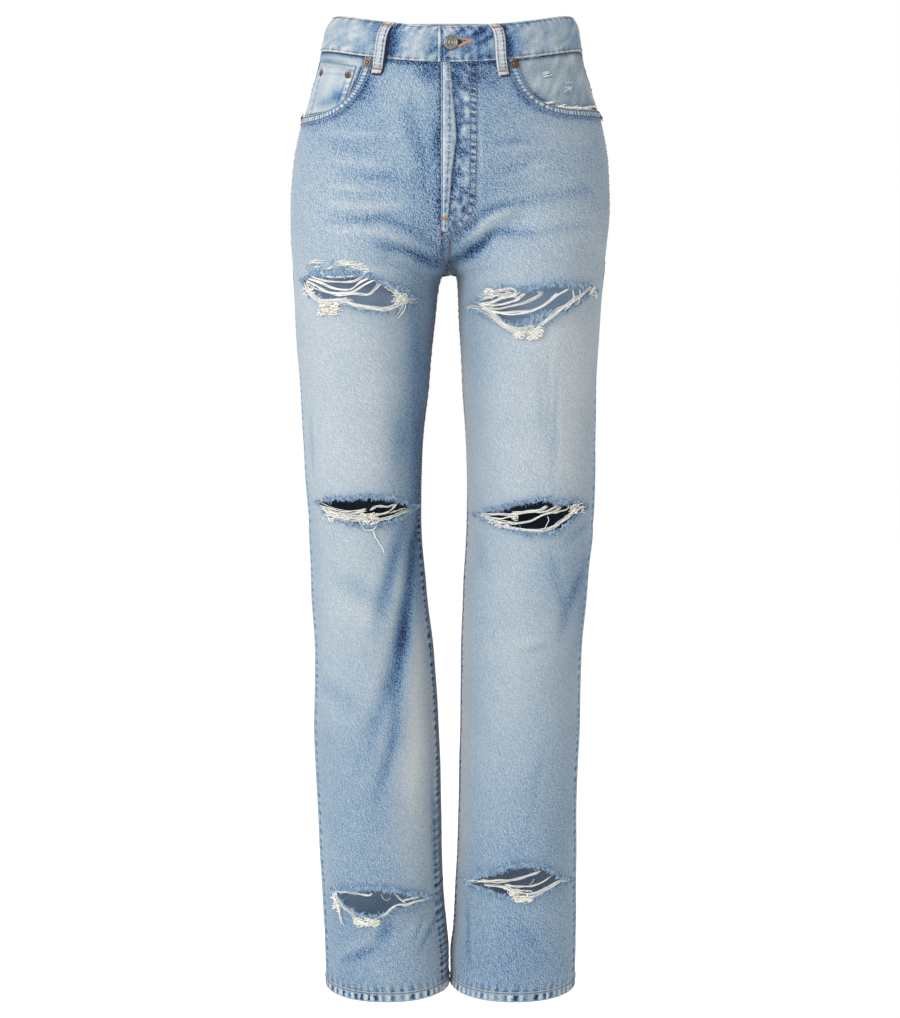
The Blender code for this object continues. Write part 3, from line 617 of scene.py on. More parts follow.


# ---------------------------------------------------------------- fading, from 0 (dark) to 1 (bleached), with painted shade
# Height, then the tone in hundredths at even steps from the outseam to the inner seam or the fly.
FADES = {
    ("right", 1): (
        (0, 52, 48, 53, 54, 60), (40, 55, 50, 56, 58, 65), (100, 58, 50, 54, 59, 72),
        (160, 61, 53, 54, 70, 82), (220, 61, 56, 55, 72, 84), (280, 63, 59, 54, 70, 80),
        (340, 64, 70, 64, 62, 72), (400, 66, 76, 73, 52, 54), (450, 65, 78, 81, 50, 44),
        (500, 65, 77, 79, 51, 32), (550, 65, 77, 79, 54, 22), (590, 73, 83, 82, 56, 16),
        (640, 74, 83, 83, 56, 8), (690, 73, 81, 82, 60, 6), (730, 75, 81, 79, 62, 6),
        (770, 76, 82, 76, 58, 14), (800, 75, 75, 72, 54, 26), (830, 73, 71, 72, 60, 36),
        (860, 71, 67, 64, 52, 42), (890, 69, 68, 65, 54, 43), (950, 72, 60, 57, 56, 46),
        (1010, 76, 54, 46, 60, 52), (1040, 72, 58, 52, 64, 44),
    ),
    ("left", 1): (
        (0, 56, 50, 48, 50, 70), (40, 58, 47, 44, 50, 74), (100, 61, 58, 50, 52, 80),
        (160, 58, 56, 52, 58, 90), (220, 58, 58, 58, 62, 95), (280, 60, 62, 68, 68, 96),
        (340, 64, 69, 75, 66, 90), (400, 62, 74, 79, 68, 90), (450, 56, 72, 74, 70, 86),
        (500, 62, 70, 74, 68, 85), (550, 66, 72, 78, 70, 86), (590, 72, 82, 82, 73, 85),
        (640, 70, 88, 81, 72, 85), (690, 72, 92, 81, 67, 83), (730, 74, 90, 82, 60, 80),
        (770, 72, 80, 76, 62, 68), (800, 70, 76, 72, 64, 46), (830, 66, 76, 76, 64, 28),
        (860, 60, 68, 73, 62, 32), (890, 56, 64, 62, 52, 34), (950, 60, 68, 66, 54, 34),
        (1010, 64, 70, 58, 50, 34), (1040, 58, 64, 62, 50, 30),
    ),
    ("both", -1): (
        (0, 52, 50, 50, 48, 45), (200, 56, 60, 62, 58, 52), (400, 60, 70, 74, 66, 50),
        (520, 58, 58, 58, 52, 42), (600, 60, 66, 70, 60, 40), (760, 60, 70, 74, 60, 34),
        (820, 62, 72, 76, 64, 34), (880, 64, 76, 84, 76, 44), (940, 62, 70, 72, 66, 46),
        (1000, 60, 60, 58, 55, 45), (1080, 60, 60, 58, 55, 45),
    ),
}
# Soft patches on the front, by leg, lighter or darker; those beside the right leg's big fold below the knee
# are painted shade and light: x, height, half width, half height, change.
PATCHES = {
    "right": (
        (-14, 940, 5, 20, -0.34), (-36, 650, 8, 150, -0.16), (-50, 412, 9, 30, -0.14),
        (-38, 285, 14, 110, 0.1), (-22, 1022, 12, 9, -0.16), (-100, 803, 34, 6, 0.12),
        (-24, 1030, 16, 10, -0.26), (-92, 1004, 12, 14, -0.22), (-50, 1032, 20, 4, -0.1),
        (-32, 985, 10, 40, 0.1), (-70, 862, 34, 16, 0.08), (-34, 400, 9, 40, 0.18), (-36, 330, 12, 90, 0.2),
        (-48, 250, 16, 50, 0.1), (-76, 1031, 12, 8, -0.22), (-76, 953, 10, 14, -0.08),
        (-38, 988, 9, 14, -0.08), (-6, 873, 9, 18, -0.18), (-38, 725, 10, 60, -0.1),
        (-55, 622, 10, 28, -0.13), (-55, 462, 10, 20, 0.15), (-55, 404, 10, 20, -0.16),
        (-60, 352, 14, 20, -0.09), (-54, 300, 10, 20, -0.08),
    ),
    "left": (
        (26, 1022, 14, 9, -0.32), (47, 1016, 9, 10, -0.14), (44, 1031, 24, 5, -0.22),
        (11, 1024, 6, 10, -0.24), (10, 1000, 4, 14, -0.14), (25, 1018, 3, 12, -0.3), (17, 985, 2.5, 26, 0.2),
        (8.5, 962, 3, 16, -0.18), (24, 824, 14, 10, -0.2), (100, 900, 40, 5, 0.06), (78, 1000, 8, 14, -0.12),
        (146, 440, 14, 50, -0.12), (120, 470, 30, 50, -0.08), (108, 640, 3, 80, 0.08),
        (112, 625, 2.5, 60, -0.08), (16, 1030, 18, 8, -0.12), (26, 873, 9, 18, -0.12), (8, 690, 8, 110, 0.07),
        (8, 380, 8, 200, 0.08),
    ),
}


def fade_table(rows, height, share):
    """The tones of a table at these heights and shares of the way across."""
    heights = np.array([r[0] for r in rows], float)
    values = np.array([r[1:] for r in rows]) / 100
    knots = np.linspace(0, 1, values.shape[1])
    i = np.clip(np.searchsorted(heights, height) - 1, 0, len(heights) - 2)
    step = (height - heights[i]) / (heights[i + 1] - heights[i])
    t = smoothstep(step) * 0.4 + 0.6 * np.clip(step, 0, 1)
    place = np.clip(share, 0, 1) * (len(knots) - 1)
    j = np.clip(place.astype(int), 0, len(knots) - 2)
    s = smoothstep(place - j) * 0.5 + 0.5 * np.clip(place - j, 0, 1)
    low = values[i, j] * (1 - s) + values[i, j + 1] * s
    high = values[i + 1, j] * (1 - s) + values[i + 1, j + 1] * s
    return low * (1 - t) + high * t


def fade(leg, height, arc):
    """How bleached the cloth of a leg is, with painted shade under the waistband, beside the fly, outside the
    pocket mouths and along the creases.
    """
    height, arc = paired(height, arc)
    surface = SURFACES[leg]
    out = seam_value("outseam", height)
    inseam = seam_value(leg + "_inseam", height)
    front = arc >= out
    share = np.where(
        front,
        (arc - out) / (surface.length(1, height) - inseam - out),
        (out - arc) / (surface.length(-1, height) + inseam + out),
    )
    ahead, behind = (fade_table(FADES[key], height, share) for key in ((leg, 1), ("both", -1)))
    tone = np.where(front, ahead, behind)
    x = surface.flat(height, arc)[0]
    for cx, ch, rx, rh, change in PATCHES[leg]:
        tone += np.where(front, change * bell(x, rx, cx) * bell(height, rh, ch), 0)
    to_out, to_in = seam_places(leg, height, arc)
    edge = surface_end(leg, height) - arc
    above = smoothstep((height - 848) / 8) * (arc > 0)
    if leg == "left":
        beside = edge - placket_width(height)
        # Painted shade in the hollow beside the fly's ridge.
        tone = tone + 0.36 * fly_rumple(height, arc) - 0.55 * valley(height, beside) * above
        tone += 0.16 * bell(edge, 2.0, 41) * above * smoothstep((1000 - height) / 30)
    else:
        # Painted shadow along the fly's edge on the right front.
        tone -= above * (0.42 * bell(edge, 3.0) + 0.10 * bell(edge, 10.0))
    # Painted shadow: a dark line under the waistband.
    tone -= 1.1 * bell(height, 3.2, OUTSEAM)
    if leg == "right":
        # The felled edge of the inseam shows along the foot, as a strip with a dark line in front.
        low = smoothstep((235 - height) / 60)
        ahead = np.where(arc > 0, to_in, -to_in)
        strip = smoothstep((9.5 - ahead) / 1.5) * smoothstep((ahead + 34) / 4) * low
        tone += strip * (0.58 - tone)
        tone -= low * 0.4 * bell(ahead, 2.0, 11.0) * (0.4 + 0.6 * smoothstep(np.abs(height - 85) / 40))
        tone -= 0.25 * bell(ahead, 5.0, 15.0) * bell(height, 70, 185)
    tone = tone - 0.25 * bell(to_out, 1.2) - 0.25 * bell(to_in, 1.2)
    # Creases darker in their troughs and paler on the ridge beside them: partly worn whiskers, partly painted
    # shade and light.
    tone += np.where(front, 0.15, 0.07) * np.clip(crease_relief(leg, height, arc), -2.3, 1.3)
    # Painted shade just outside the raised band of the pocket mouth.
    beyond = 80 * past_mouth(leg, height, arc, MOUTH_BAND)
    tone -= (arc > 0) * (0.30 * bell(beyond, 2.0) + 0.10 * bell(beyond, 8.0))
    for name, rows in rips_of(leg):
        up, bottom = rip_edges(name, x, 0.0)
        within = smoothstep(np.minimum(x - rows[0, 0], rows[-1, 0] - x) / 10.0) * front
        tone -= 0.10 * within * (bell(height - up, 5.0, 2) + bell(height - bottom, 5.0, -2))
    return np.clip(tone, 0.0, 1.0)


# ---------------------------------------------------------------- meshes
def grid_quads(rows, columns, flip=False, keep=None, closed=False):
    """Quads of a grid of points, of which only the cells to keep are used; a closed grid joins its sides."""
    index = np.arange(rows * columns).reshape(rows, columns)
    if closed:
        index = np.concatenate([index, index[:, :1]], axis=1)
    quads = np.stack([index[:-1, :-1], index[:-1, 1:], index[1:, 1:], index[1:, :-1]], axis=-1)
    quads = quads[keep] if keep is not None else quads.reshape(-1, 4)
    return quads[:, ::-1] if flip else quads


def add_mesh(name, points, quads, materials, tones=None, fabric=None, seam=None):
    """An object of smooth quads, its points in millimetres; points that no quad uses are left out."""
    points = np.asarray(points, float).reshape(-1, 3)
    used, quads = np.unique(quads, return_inverse=True)
    quads = quads.reshape(-1, 4)
    mesh = bpy.data.meshes.new(name)
    mesh.vertices.add(len(used))
    mesh.vertices.foreach_set("co", (points[used] * MM).ravel())
    mesh.loops.add(quads.size)
    mesh.loops.foreach_set("vertex_index", quads.ravel())
    mesh.polygons.add(len(quads))
    mesh.polygons.foreach_set("loop_start", np.arange(0, quads.size, 4))
    mesh.polygons.foreach_set("use_smooth", np.ones(len(quads), bool))
    if tones is not None:
        mesh.attributes.new("wash", "FLOAT", "POINT").data.foreach_set("value", np.ravel(tones)[used])
    if fabric is not None:
        places = np.asarray(fabric, float).reshape(-1, 3)[used] * MM
        mesh.attributes.new("fabric", "FLOAT_VECTOR", "POINT").data.foreach_set("vector", places.ravel())
    if seam is not None:
        places = np.stack([np.ravel(part)[used] for part in seam], axis=-1)
        mesh.attributes.new("seam", "FLOAT_VECTOR", "POINT").data.foreach_set("vector", places.ravel())
    mesh.update(calc_edges=True)
    obj = bpy.data.objects.new(name, mesh)
    bpy.context.scene.collection.objects.link(obj)
    for material in materials:
        mesh.materials.append(material)
    return obj


def settle(obj, slot, *nodes):
    """Ties a piece to the frame: it rides the root and stands for CAD nodes, which it hides; slot is not
    used.
    """
    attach(obj, "root")
    if nodes:
        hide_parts(*nodes)
    return obj


# Every piece by its name, and how far each one's pattern is moved aside.
PIECES, PIECE_SHIFT = {}, {}


def fabric_of(name, heights, arcs):
    """Fabric coordinates of a piece, to the right and up; each piece is moved aside to its own pattern."""
    arcs = -np.asarray(arcs, float) if name.endswith("left") else np.asarray(arcs, float)
    aside = PIECE_SHIFT.setdefault(name, 1370.0 * (len(PIECE_SHIFT) + 1))
    return np.stack(np.broadcast_arrays(arcs + aside, np.asarray(heights, float), 0.0), axis=-1)


def grain_at(height):
    """How clearly the weave shows: most round the hips, least on the thighs and calves."""
    return np.interp(height, [0, 120, 300, 420, 780, 850], [0.82, 0.80, 0.70, 0.70, 0.70, 1.0])


def cloth(name, place, points, tones, quads, wall, seam, material=None):
    """A piece of denim, with a wall behind it.

    place is its (heights, arcs), and seam the (run, weight) of its puckers and how clear its weave is.
    """
    material = material or DENIM
    shape = np.shape(points)[:-1]
    seam = seam if len(seam) == 3 else (*seam, grain_at(place[0]))
    seam = [np.broadcast_to(part, shape) for part in seam]
    tones = np.clip(np.broadcast_to(tones, shape), 0, 1)
    made = add_mesh(name, points, quads, (material, INSIDE), tones, fabric_of(name, *place), seam)
    solid = made.modifiers.new("wall", "SOLIDIFY")
    solid.thickness = wall * MM
    solid.offset = -1.0
    solid.material_offset = 1
    PIECES[name] = settle(made, "denim_pale" if material is DENIM_PALE else "denim", name)


def on_leg(name, leg, heights, arcs, away, tones, wall, seam, material=None, behind=False, ring=False):
    """A piece of denim laid on the folded cloth of a leg, in front or behind it."""
    quads = grid_quads(*heights.shape, (leg == "left") != behind, closed=ring)
    cloth(name, (heights, arcs), skin(leg, heights, arcs, away), tones, quads, wall, seam, material)


# ---------------------------------------------------------------- materials
LIT = 2.0  # how brightly the studio lights a surface that faces it


def srgb(*levels, lit=1.0):
    """A colour given as screen levels from 0 to 255, as seen under a light of this strength."""
    shares = [c / 255 for c in levels]
    return [(c / 12.92 if c <= 0.04045 else ((c + 0.055) / 1.055) ** 2.4) / lit for c in shares] + [1.0]


class Shader:
    """A small helper for building a material's nodes."""

    def __init__(self, name):
        self.material = bpy.data.materials.new(name)
        self.material.use_nodes = True
        self.tree = self.material.node_tree
        self.bsdf = self.tree.nodes["Principled BSDF"]

    def add(self, kind, inputs=None, **settings):
        made = self.tree.nodes.new("ShaderNode" + kind)
        for key, value in settings.items():
            setattr(made, key, value)
        for key, value in (inputs or {}).items():
            self.set(made.inputs[key], value)
        return made

    def set(self, socket, value):
        if isinstance(value, bpy.types.NodeSocket):
            self.tree.links.new(value, socket)
        else:
            socket.default_value = value

    def math(self, operation, *values, clamp=False):
        made = self.add("Math", operation=operation, use_clamp=clamp)
        for i, value in enumerate(values):
            self.set(made.inputs[i], value)
        return made.outputs[0]

    def plus(self, *values, clamp=False):
        return self.math("ADD", *values, clamp=clamp)

    def times(self, *values):
        return self.math("MULTIPLY", *values)

    def times_plus(self, *values, clamp=False):
        """The first value times the second, plus the third."""
        return self.math("MULTIPLY_ADD", *values, clamp=clamp)

    def attribute(self, name, output):
        return self.add("Attribute", attribute_name=name).outputs[output]

    def noise(self, vector, scale, detail=2.0, roughness=0.5, space="2D"):
        inputs = {"Vector": vector, "Scale": scale, "Detail": detail, "Roughness": roughness}
        return self.add("TexNoise", inputs, noise_dimensions=space).outputs["Fac"]

    def mapped(self, vector, turn, stretch, shift=(0.0, 0.0, 0.0)):
        """The vector, read so that a pattern is stretched along axes turned by so many degrees."""
        rotation = (0, 0, math.radians(turn))
        turned = {"Vector": vector, "Location": shift, "Rotation": rotation, "Scale": stretch}
        return self.add("Mapping", turned, vector_type="TEXTURE").outputs["Vector"]

    def cells(self, vector, scale):
        """A different number from 0 to 1 in each small cell."""
        made = self.add("TexVoronoi", {"Vector": vector, "Scale": scale}, voronoi_dimensions="2D")
        return self.add("SeparateColor", {"Color": made.outputs["Color"]}).outputs[0]

    def wave(self, run, length, phase=0.0):
        return self.math("SINE", self.times_plus(run, 1 / length, phase))

    def pucker(self, run):
        """The same uneven wave as the function pucker."""
        slow = self.plus(self.times(self.wave(run, 17.0), 2.6), self.times(self.wave(run, 43.0), 1.7))
        quick = self.times(self.wave(run, 0.83, self.times(slow, 1.7)), 0.3)
        broad = self.times_plus(self.wave(run, 3.1), 0.35, quick)
        return self.math("TANH", self.times(self.plus(self.wave(run, 1.45, slow), broad), 0.9))

    def ramp(self, factor, stops, lit=LIT):
        made = self.add("ValToRGB", {"Fac": factor})
        elements = made.color_ramp.elements
        for i, (place, colour) in enumerate(stops):
            element = elements[i] if i < 2 else elements.new(place)
            element.position, element.color = place, srgb(*colour, lit=lit)
        return made.outputs["Color"]

    def finish(self, **inputs):
        names = {
            "colour": "Base Color", "roughness": "Roughness", "metallic": "Metallic", "normal": "Normal",
            "sheen": "Sheen Weight", "sheen_roughness": "Sheen Roughness", "specular": "Specular IOR Level",
        }
        for key, value in inputs.items():
            self.set(self.bsdf.inputs[names[key]], value)
        return self.material


DENIM_STOPS = (
    (0.0, (22, 44, 88)), (0.06, (42, 76, 126)), (0.16, (72, 111, 158)), (0.32, (105, 142, 179)),
    (0.5, (140, 168, 193)), (0.7, (172, 190, 204)), (0.88, (199, 208, 214)), (1.0, (222, 228, 230)),
)
FACING_STOPS = (
    (0.0, (30, 44, 70)), (0.3, (98, 126, 152)), (0.5, (130, 154, 173)), (0.7, (154, 174, 188)),
    (1.0, (204, 214, 219)),
)
INSIDE_STOPS = ((0.0, (6, 9, 14)), (0.5, (66, 84, 104)), (1.0, (130, 148, 168)))


def denim(name, stops, lift=0.0, grain=1.0):
    """Washed denim: pale weft showing through a blue warp, as mottle, upright slubs and fine diagonal grain.

    Ridges of a puckered seam rub pale, and the hollows between them stay dark.
    """
    s = Shader(name)
    fabric, wash = s.attribute("fabric", "Vector"), s.attribute("wash", "Fac")
    seam = s.add("SeparateXYZ", {"Vector": s.attribute("seam", "Vector")}).outputs
    cloud = s.noise(fabric, 16.0, 3.0)
    mottle = s.noise(fabric, 210.0, 2.0, 0.6)
    slub = s.noise(s.mapped(fabric, 90, (12.0, 1.0, 1.0)), 900.0, 1.0)
    twill = s.noise(s.mapped(fabric, -62, (4.0, 1.0, 1.0)), 1100.0, 1.0, 0.6)
    # Each fleck has a little of its opposite beside it, across the twill, which keeps the grain fine.
    fleck = (fabric, -60, (1.5, 1.0, 1.0))
    speck = s.cells(s.mapped(*fleck), 1350.0)
    beside = s.cells(s.mapped(*fleck, (0.0010, 0.0008, 0.0)), 1350.0)
    speck = s.times_plus(beside, -0.3, speck)
    faded = s.times(s.times_plus(wash, -0.85, 1.32), seam[2])
    total = None
    for value, middle, weight in (
        (mottle, 0.5, 0.13), (slub, 0.5, 0.24), (twill, 0.5, 0.24), (speck, 0.35, 0.72),
    ):
        part = s.times_plus(value, weight * grain, -middle * weight * grain)
        total = part if total is None else s.plus(total, part)
    total = s.times_plus(total, faded, wash)
    total = s.plus(total, s.times_plus(cloud, 0.14, lift - 0.07))
    frayed = s.times_plus(s.noise(fabric, 330.0, 2.0, 0.6), 5.0, s.plus(seam[0], -2.5))
    ridge = s.pucker(frayed)
    total = s.times_plus(s.plus(ridge, -0.12), seam[1], total)
    shade = s.plus(total, 0.0, clamp=True)
    weave = s.plus(s.times(twill, 0.5), s.times(speck, 0.1))
    weave = s.times_plus(mottle, 0.3, weave)
    weave = s.plus(weave, s.times(s.times(ridge, seam[1]), 1.6))
    bump = s.add("Bump", {"Strength": 0.5, "Distance": 0.0006, "Height": weave})
    return s.finish(
        colour=s.ramp(shade, stops), roughness=0.92, sheen=0.12, sheen_roughness=0.4, specular=0.2,
        normal=bump.outputs["Normal"],
    )


def yarn(name, dark, pale, lit=LIT):
    """Thread whose tone comes from the wash attribute, a little uneven along its length."""
    s = Shader(name)
    uneven = s.noise(s.add("TexCoord").outputs["Object"], 900.0, 2.0, space="3D")
    tone = s.plus(s.attribute("wash", "Fac"), s.times_plus(uneven, 0.5, -0.25), clamp=True)
    colour = s.ramp(tone, ((0.0, dark), (1.0, pale)), lit)
    return s.finish(colour=colour, roughness=0.85, specular=0.2, sheen=0.2)


def metal(name, dark, pale, roughness, scale):
    """Worn cast metal, darker in patches."""
    s = Shader(name)
    patches = s.noise(s.add("TexCoord").outputs["Object"], scale, 4.0, 0.6, "3D")
    bump = s.add("Bump", {"Strength": 0.3, "Distance": 0.0002, "Height": patches})
    tone = s.times_plus(patches, 1.8, -0.4, clamp=True)
    return s.finish(colour=s.ramp(tone, ((0.0, dark), (1.0, pale))), metallic=0.9, roughness=roughness,
                    normal=bump.outputs["Normal"])


DENIM = denim("washed_denim", DENIM_STOPS)
DENIM_PALE = denim("rubbed_denim", DENIM_STOPS, 0.04, 1.1)
FACING = denim("pocket_facing", FACING_STOPS)
INSIDE = denim("denim_inside", INSIDE_STOPS, 0.0, 0.5)
CREAM = yarn("weft_cream", (190, 189, 180), (253, 252, 247), lit=1.30)
# A lighter copy of the cream thread for tufts and tangles lying on the cloth: painted light against their own
# shade.
CREAM_LIGHTENED = yarn("weft_tuft_lightened", (198, 196, 184), (252, 250, 242), lit=1.12)
BLUE_YARN = yarn("warp_blue", (72, 114, 156), (184, 210, 228), lit=1.25)
STITCH_SHADE = yarn("stitch_shade", (74, 96, 136), (132, 154, 184))
TAN = yarn("thread_tan", (66, 48, 52), (142, 102, 88))
ORANGE = yarn("thread_orange", (156, 98, 56), (222, 166, 116))
BUTTONHOLE_THREAD = yarn("buttonhole_thread", (178, 126, 92), (236, 196, 164))
# Near-black thread that is painted shadow: the gaps under the belt loops and the buttonhole's eye.
SHADOW_THREAD = yarn("painted_shadow_thread", (8, 12, 26), (34, 48, 84))
SMOKE = yarn("thread_smoke", (70, 62, 76), (134, 118, 126))
BUTTON_METAL = metal("button_zinc", (92, 92, 86), (182, 180, 170), 0.42, 420.0)
RIVET_METAL = metal("rivet_copper", (58, 42, 36), (158, 126, 110), 0.38, 700.0)


# ---------------------------------------------------------------- panels
def dense_ends(count):
    """Shares from 0 to 1, closer together near both ends."""
    t = np.linspace(0, 1, count)
    return t - 0.55 * np.sin(2 * math.pi * t) / (2 * math.pi)


def span(leg, face, height):
    """First and last arc of a panel at each height, from the outseam."""
    out, inseam = seam_value("outseam", height), seam_value(leg + "_inseam", height)
    last = SURFACES[leg].length(face, height) * face - inseam
    return out + 0.1 * face, last - 0.1 * face


def levels(*stretches):
    """Heights through stretches of (first, last, step), joined end to end."""
    parts = [np.linspace(a, b, max(2, round((b - a) / step) + 1))[:-1] for a, b, step in stretches]
    return np.concatenate([*parts, [stretches[-1][1]]])


POCKET_REACH = {"right": 98.0, "left": 122.7}
POCKET_DEPTH = {"right": 69.0, "left": 62.5}
POCKET_SQUARENESS = {"right": 4.1, "left": 4.8}
POCKET_LEAN, MOUTH_BAND = 2.0, 10.4
ABOVE_CROTCH = CROTCH + np.array([0.02, 0.6, 1.5, 2.8, 4.6, 7, 10, 13.5])
FRONT_LEVELS = levels(
    (HEM_TOP + 0.1, 60, 3.2), (60, 190, 2.6), (190, 480, 4.0), (480, 600, 2.8), (600, 700, 4.0),
    (700, CROTCH - 6, 2.6), (CROTCH - 6, CROTCH - 1.5, 1.5),
)
FRONT_LEVELS = np.concatenate([FRONT_LEVELS, ABOVE_CROTCH, levels((817, 1039.9, 3.0))])


def mouth_curve(leg, count, offset):
    """The pocket mouth as arcs and heights from the waistband to the side seam, moved into the panel."""
    angle = np.linspace(0, math.pi / 2, count)
    power = 2 / POCKET_SQUARENESS[leg]
    depth = POCKET_DEPTH[leg] * np.sin(angle) ** power
    arc = POCKET_REACH[leg] * np.cos(angle) ** power - POCKET_LEAN * np.maximum(0, 1 - depth / 30)
    step = run_along(np.stack([arc, depth], axis=1))
    even = np.linspace(0, step[-1], count)
    arc, depth = np.interp(even, step, arc), np.interp(even, step, depth)
    slope_a, slope_d = np.gradient(arc), np.gradient(depth)
    size = np.hypot(slope_a, slope_d)
    return arc + offset * slope_d / size, OUTSEAM - depth + offset * slope_a / size


def past_mouth(leg, height, arc, margin=0.0):
    """How far places are out of the pocket mouth grown by a margin, as a share of its size.

    It is negative inside the mouth.
    """
    depth = OUTSEAM - height
    reach, deep, power = POCKET_REACH[leg] + margin, POCKET_DEPTH[leg] + margin, POCKET_SQUARENESS[leg]
    lean = POCKET_LEAN * np.maximum(0, 1 - depth / 30)
    return (np.abs((arc + lean) / reach) ** power + np.abs(depth / deep) ** power) ** (1 / power) - 1


# How far above and below a rip the panel's rows bend towards it, and how far beside it they settle back.
RIP_MARGIN, RIP_EASE = 26, 30.0


def open_rips(leg, heights, xs):
    """Moves the rows round each rip to its torn edges; returns the rows and the cells to leave out."""
    heights = heights.copy()
    torn = np.zeros((heights.shape[0] - 1, heights.shape[1] - 1), bool)
    level = heights[:, 0].copy()
    for name, rows in rips_of(leg):
        middle = float(np.mean((rows[:, 1] + rows[:, 2]) / 2))
        slit = int(np.argmin(np.abs(level - middle)))
        low_end, high_end = rows[:, 2].min() - RIP_MARGIN, rows[:, 1].max() + RIP_MARGIN
        x = xs[slit]
        up, low = rip_edges(name, x)
        away = np.maximum(rows[0, 0] - x, x - rows[-1, 0])
        tip = np.where(x < rows[0, 0], rows[0, 1], rows[-1, 1])
        outside = away > 0
        settle_back = smoothstep(away / RIP_EASE)
        rest = tip * (1 - settle_back) + level[slit] * settle_back
        up = np.where(outside, rest + 0.5, np.maximum(up, low + 0.6))
        low = np.where(outside, rest - 0.5, low)
        for i in range(len(level)):
            if low_end < level[i] <= level[slit]:
                t = (level[i] - low_end) / (level[slit] - low_end)
                heights[i] = low_end + t * (low - low_end)
            elif level[slit] < level[i] < high_end:
                t = (level[i] - level[slit + 1]) / (high_end - level[slit + 1])
                heights[i] = up + t * (high_end - up)
        inside = ~outside
        torn[slit] = inside[:-1] & inside[1:]
    return heights, torn


def spread(leg, face, heights, shares):
    """Arcs at these shares of the way across a panel."""
    first, last = span(leg, face, heights)
    return first + shares * (last - first)


def mouth_band(leg):
    """The folded edge of a pocket mouth: a narrow raised strip with a rolled edge."""
    count = 150
    offsets = np.array([-0.2, 0.0, 0.5, 1.0, 1.5, 2.3, 3.4, 4.6, 5.8, 6.8, 7.8, 8.8, 9.5, MOUTH_BAND])
    lines = [mouth_curve(leg, count, o) for o in offsets]
    arcs, heights = np.array([a for a, _ in lines]), np.array([h for _, h in lines])
    arcs = np.maximum(arcs, seam_value("outseam", heights) + 0.1)
    heights = np.minimum(heights, OUTSEAM - 0.2)
    along = np.linspace(0, 1, count) * 170
    rise = np.interp(
        offsets, [-0.2, 0.0, 0.5, 1.2, 3.4, 8.2, 9.8, 10.4], [-0.7, -0.1, 0.45, 0.75, 0.8, 0.6, 0.3, -0.35],
    )
    run = 2500.0 if leg == "left" else 2900.0
    puckers = 0.28 * pucker(along + run)[None] * np.sin(np.clip(offsets / 9.0, 0, 1) * math.pi)[:, None]
    points = skin(leg, heights, arcs, rise[:, None] + puckers)
    # Across the band: a pale rolled edge, darker lines at the two stitch rows, and painted shade at its outer
    # edge.
    edges = np.interp(
        offsets, [-0.2, 0.9, 1.5, 2.3, 3.5, 5.0, 6.8, 7.8, 8.8, 9.5, 10.4],
        [1.0, 0.98, 0.14, 0.20, 0.72, 0.64, 0.68, 0.16, 0.12, 0.58, 0.02],
    )
    tone = 0.3 * fade(leg, heights, arcs) - (0.14 if leg == "left" else 0.04) + edges[:, None]
    weight = 0.64 * bell(offsets, 2.8, 5.4)[:, None] * np.interp(along, [0, 50, 90], [0.55, 0.8, 1.0])
    return points, tone, heights, arcs, (2.2 * along[None] + run, weight, 0.45)


def joined(grids):
    """Several (points, tones, heights, arcs, (run, weight, grain), quads) as one list of points and quads."""
    columns, quads, start = [[] for _ in range(9)], [], 0
    for points, tones, heights, arcs, seam, faces in grids:
        shape = points.shape[:-1]
        for column, part in zip(columns, (*np.moveaxis(points, -1, 0), tones, heights, arcs, *seam)):
            column.append(np.broadcast_to(part, shape).ravel())
        quads.append(faces + start)
        start += heights.size
    return [np.concatenate(column) for column in columns], np.concatenate(quads)


def front_panel(leg):
    """A front, with its pocket mouth and its three rips."""
    shares = dense_ends(86)
    heights = np.repeat(FRONT_LEVELS[:, None], len(shares), axis=1)
    arcs = spread(leg, 1, heights, shares)
    heights, torn = open_rips(leg, heights, SURFACES[leg].flat(heights, arcs)[0])
    arcs = spread(leg, 1, heights, shares)
    centre_h = (heights[:-1, :-1] + heights[1:, 1:]) / 2
    centre_a = (arcs[:-1, :-1] + arcs[1:, 1:]) / 2
    keep = ~torn & (past_mouth(leg, centre_h, centre_a, 4.0) > 0)
    flip = leg == "left"
    seam = (*gathers(leg, heights, arcs), grain_at(heights))
    points = skin(leg, heights, arcs)
    main = (points, fade(leg, heights, arcs), heights, arcs, seam, grid_quads(*heights.shape, flip, keep))
    band = mouth_band(leg)
    parts, quads = joined([main, (*band, grid_quads(*band[2].shape, flip))])
    points, (tones, heights, arcs, *seam) = np.stack(parts[:3], axis=-1), parts[3:]
    cloth(f"front_{leg}", (heights, arcs), points, tones, quads, PANEL_WALL, seam)


YOKE_SIDE, YOKE_CENTRE = 40.0, 72.0


def yoke_line(share):
    """Height of the yoke's lower edge, from the side seam to the middle."""
    return OUTSEAM - YOKE_SIDE - share * (YOKE_CENTRE - YOKE_SIDE)


def back_panel(leg):
    """A back, from the hem up to the yoke."""
    shares = dense_ends(76)
    rows = levels(
        (HEM_TOP + 0.1, 60, 4.0), (60, 480, 6.0), (480, 600, 4.0), (600, 780, 5.5), (780, CROTCH - 1.5, 3.0),
    )
    rows = np.concatenate([rows, ABOVE_CROTCH])
    heights = np.repeat(rows[:, None], len(shares), axis=1)
    top = np.linspace(0, 1, 34)[1:, None]
    upper = rows[-1] + top * (yoke_line(shares)[None] - 0.2 - rows[-1])
    heights = np.concatenate([heights, upper])
    arcs = spread(leg, -1, heights, shares)
    seam = gathers(leg, heights, arcs)
    on_leg(f"back_{leg}", leg, heights, arcs, 0.0, fade(leg, heights, arcs), PANEL_WALL, seam, behind=True)


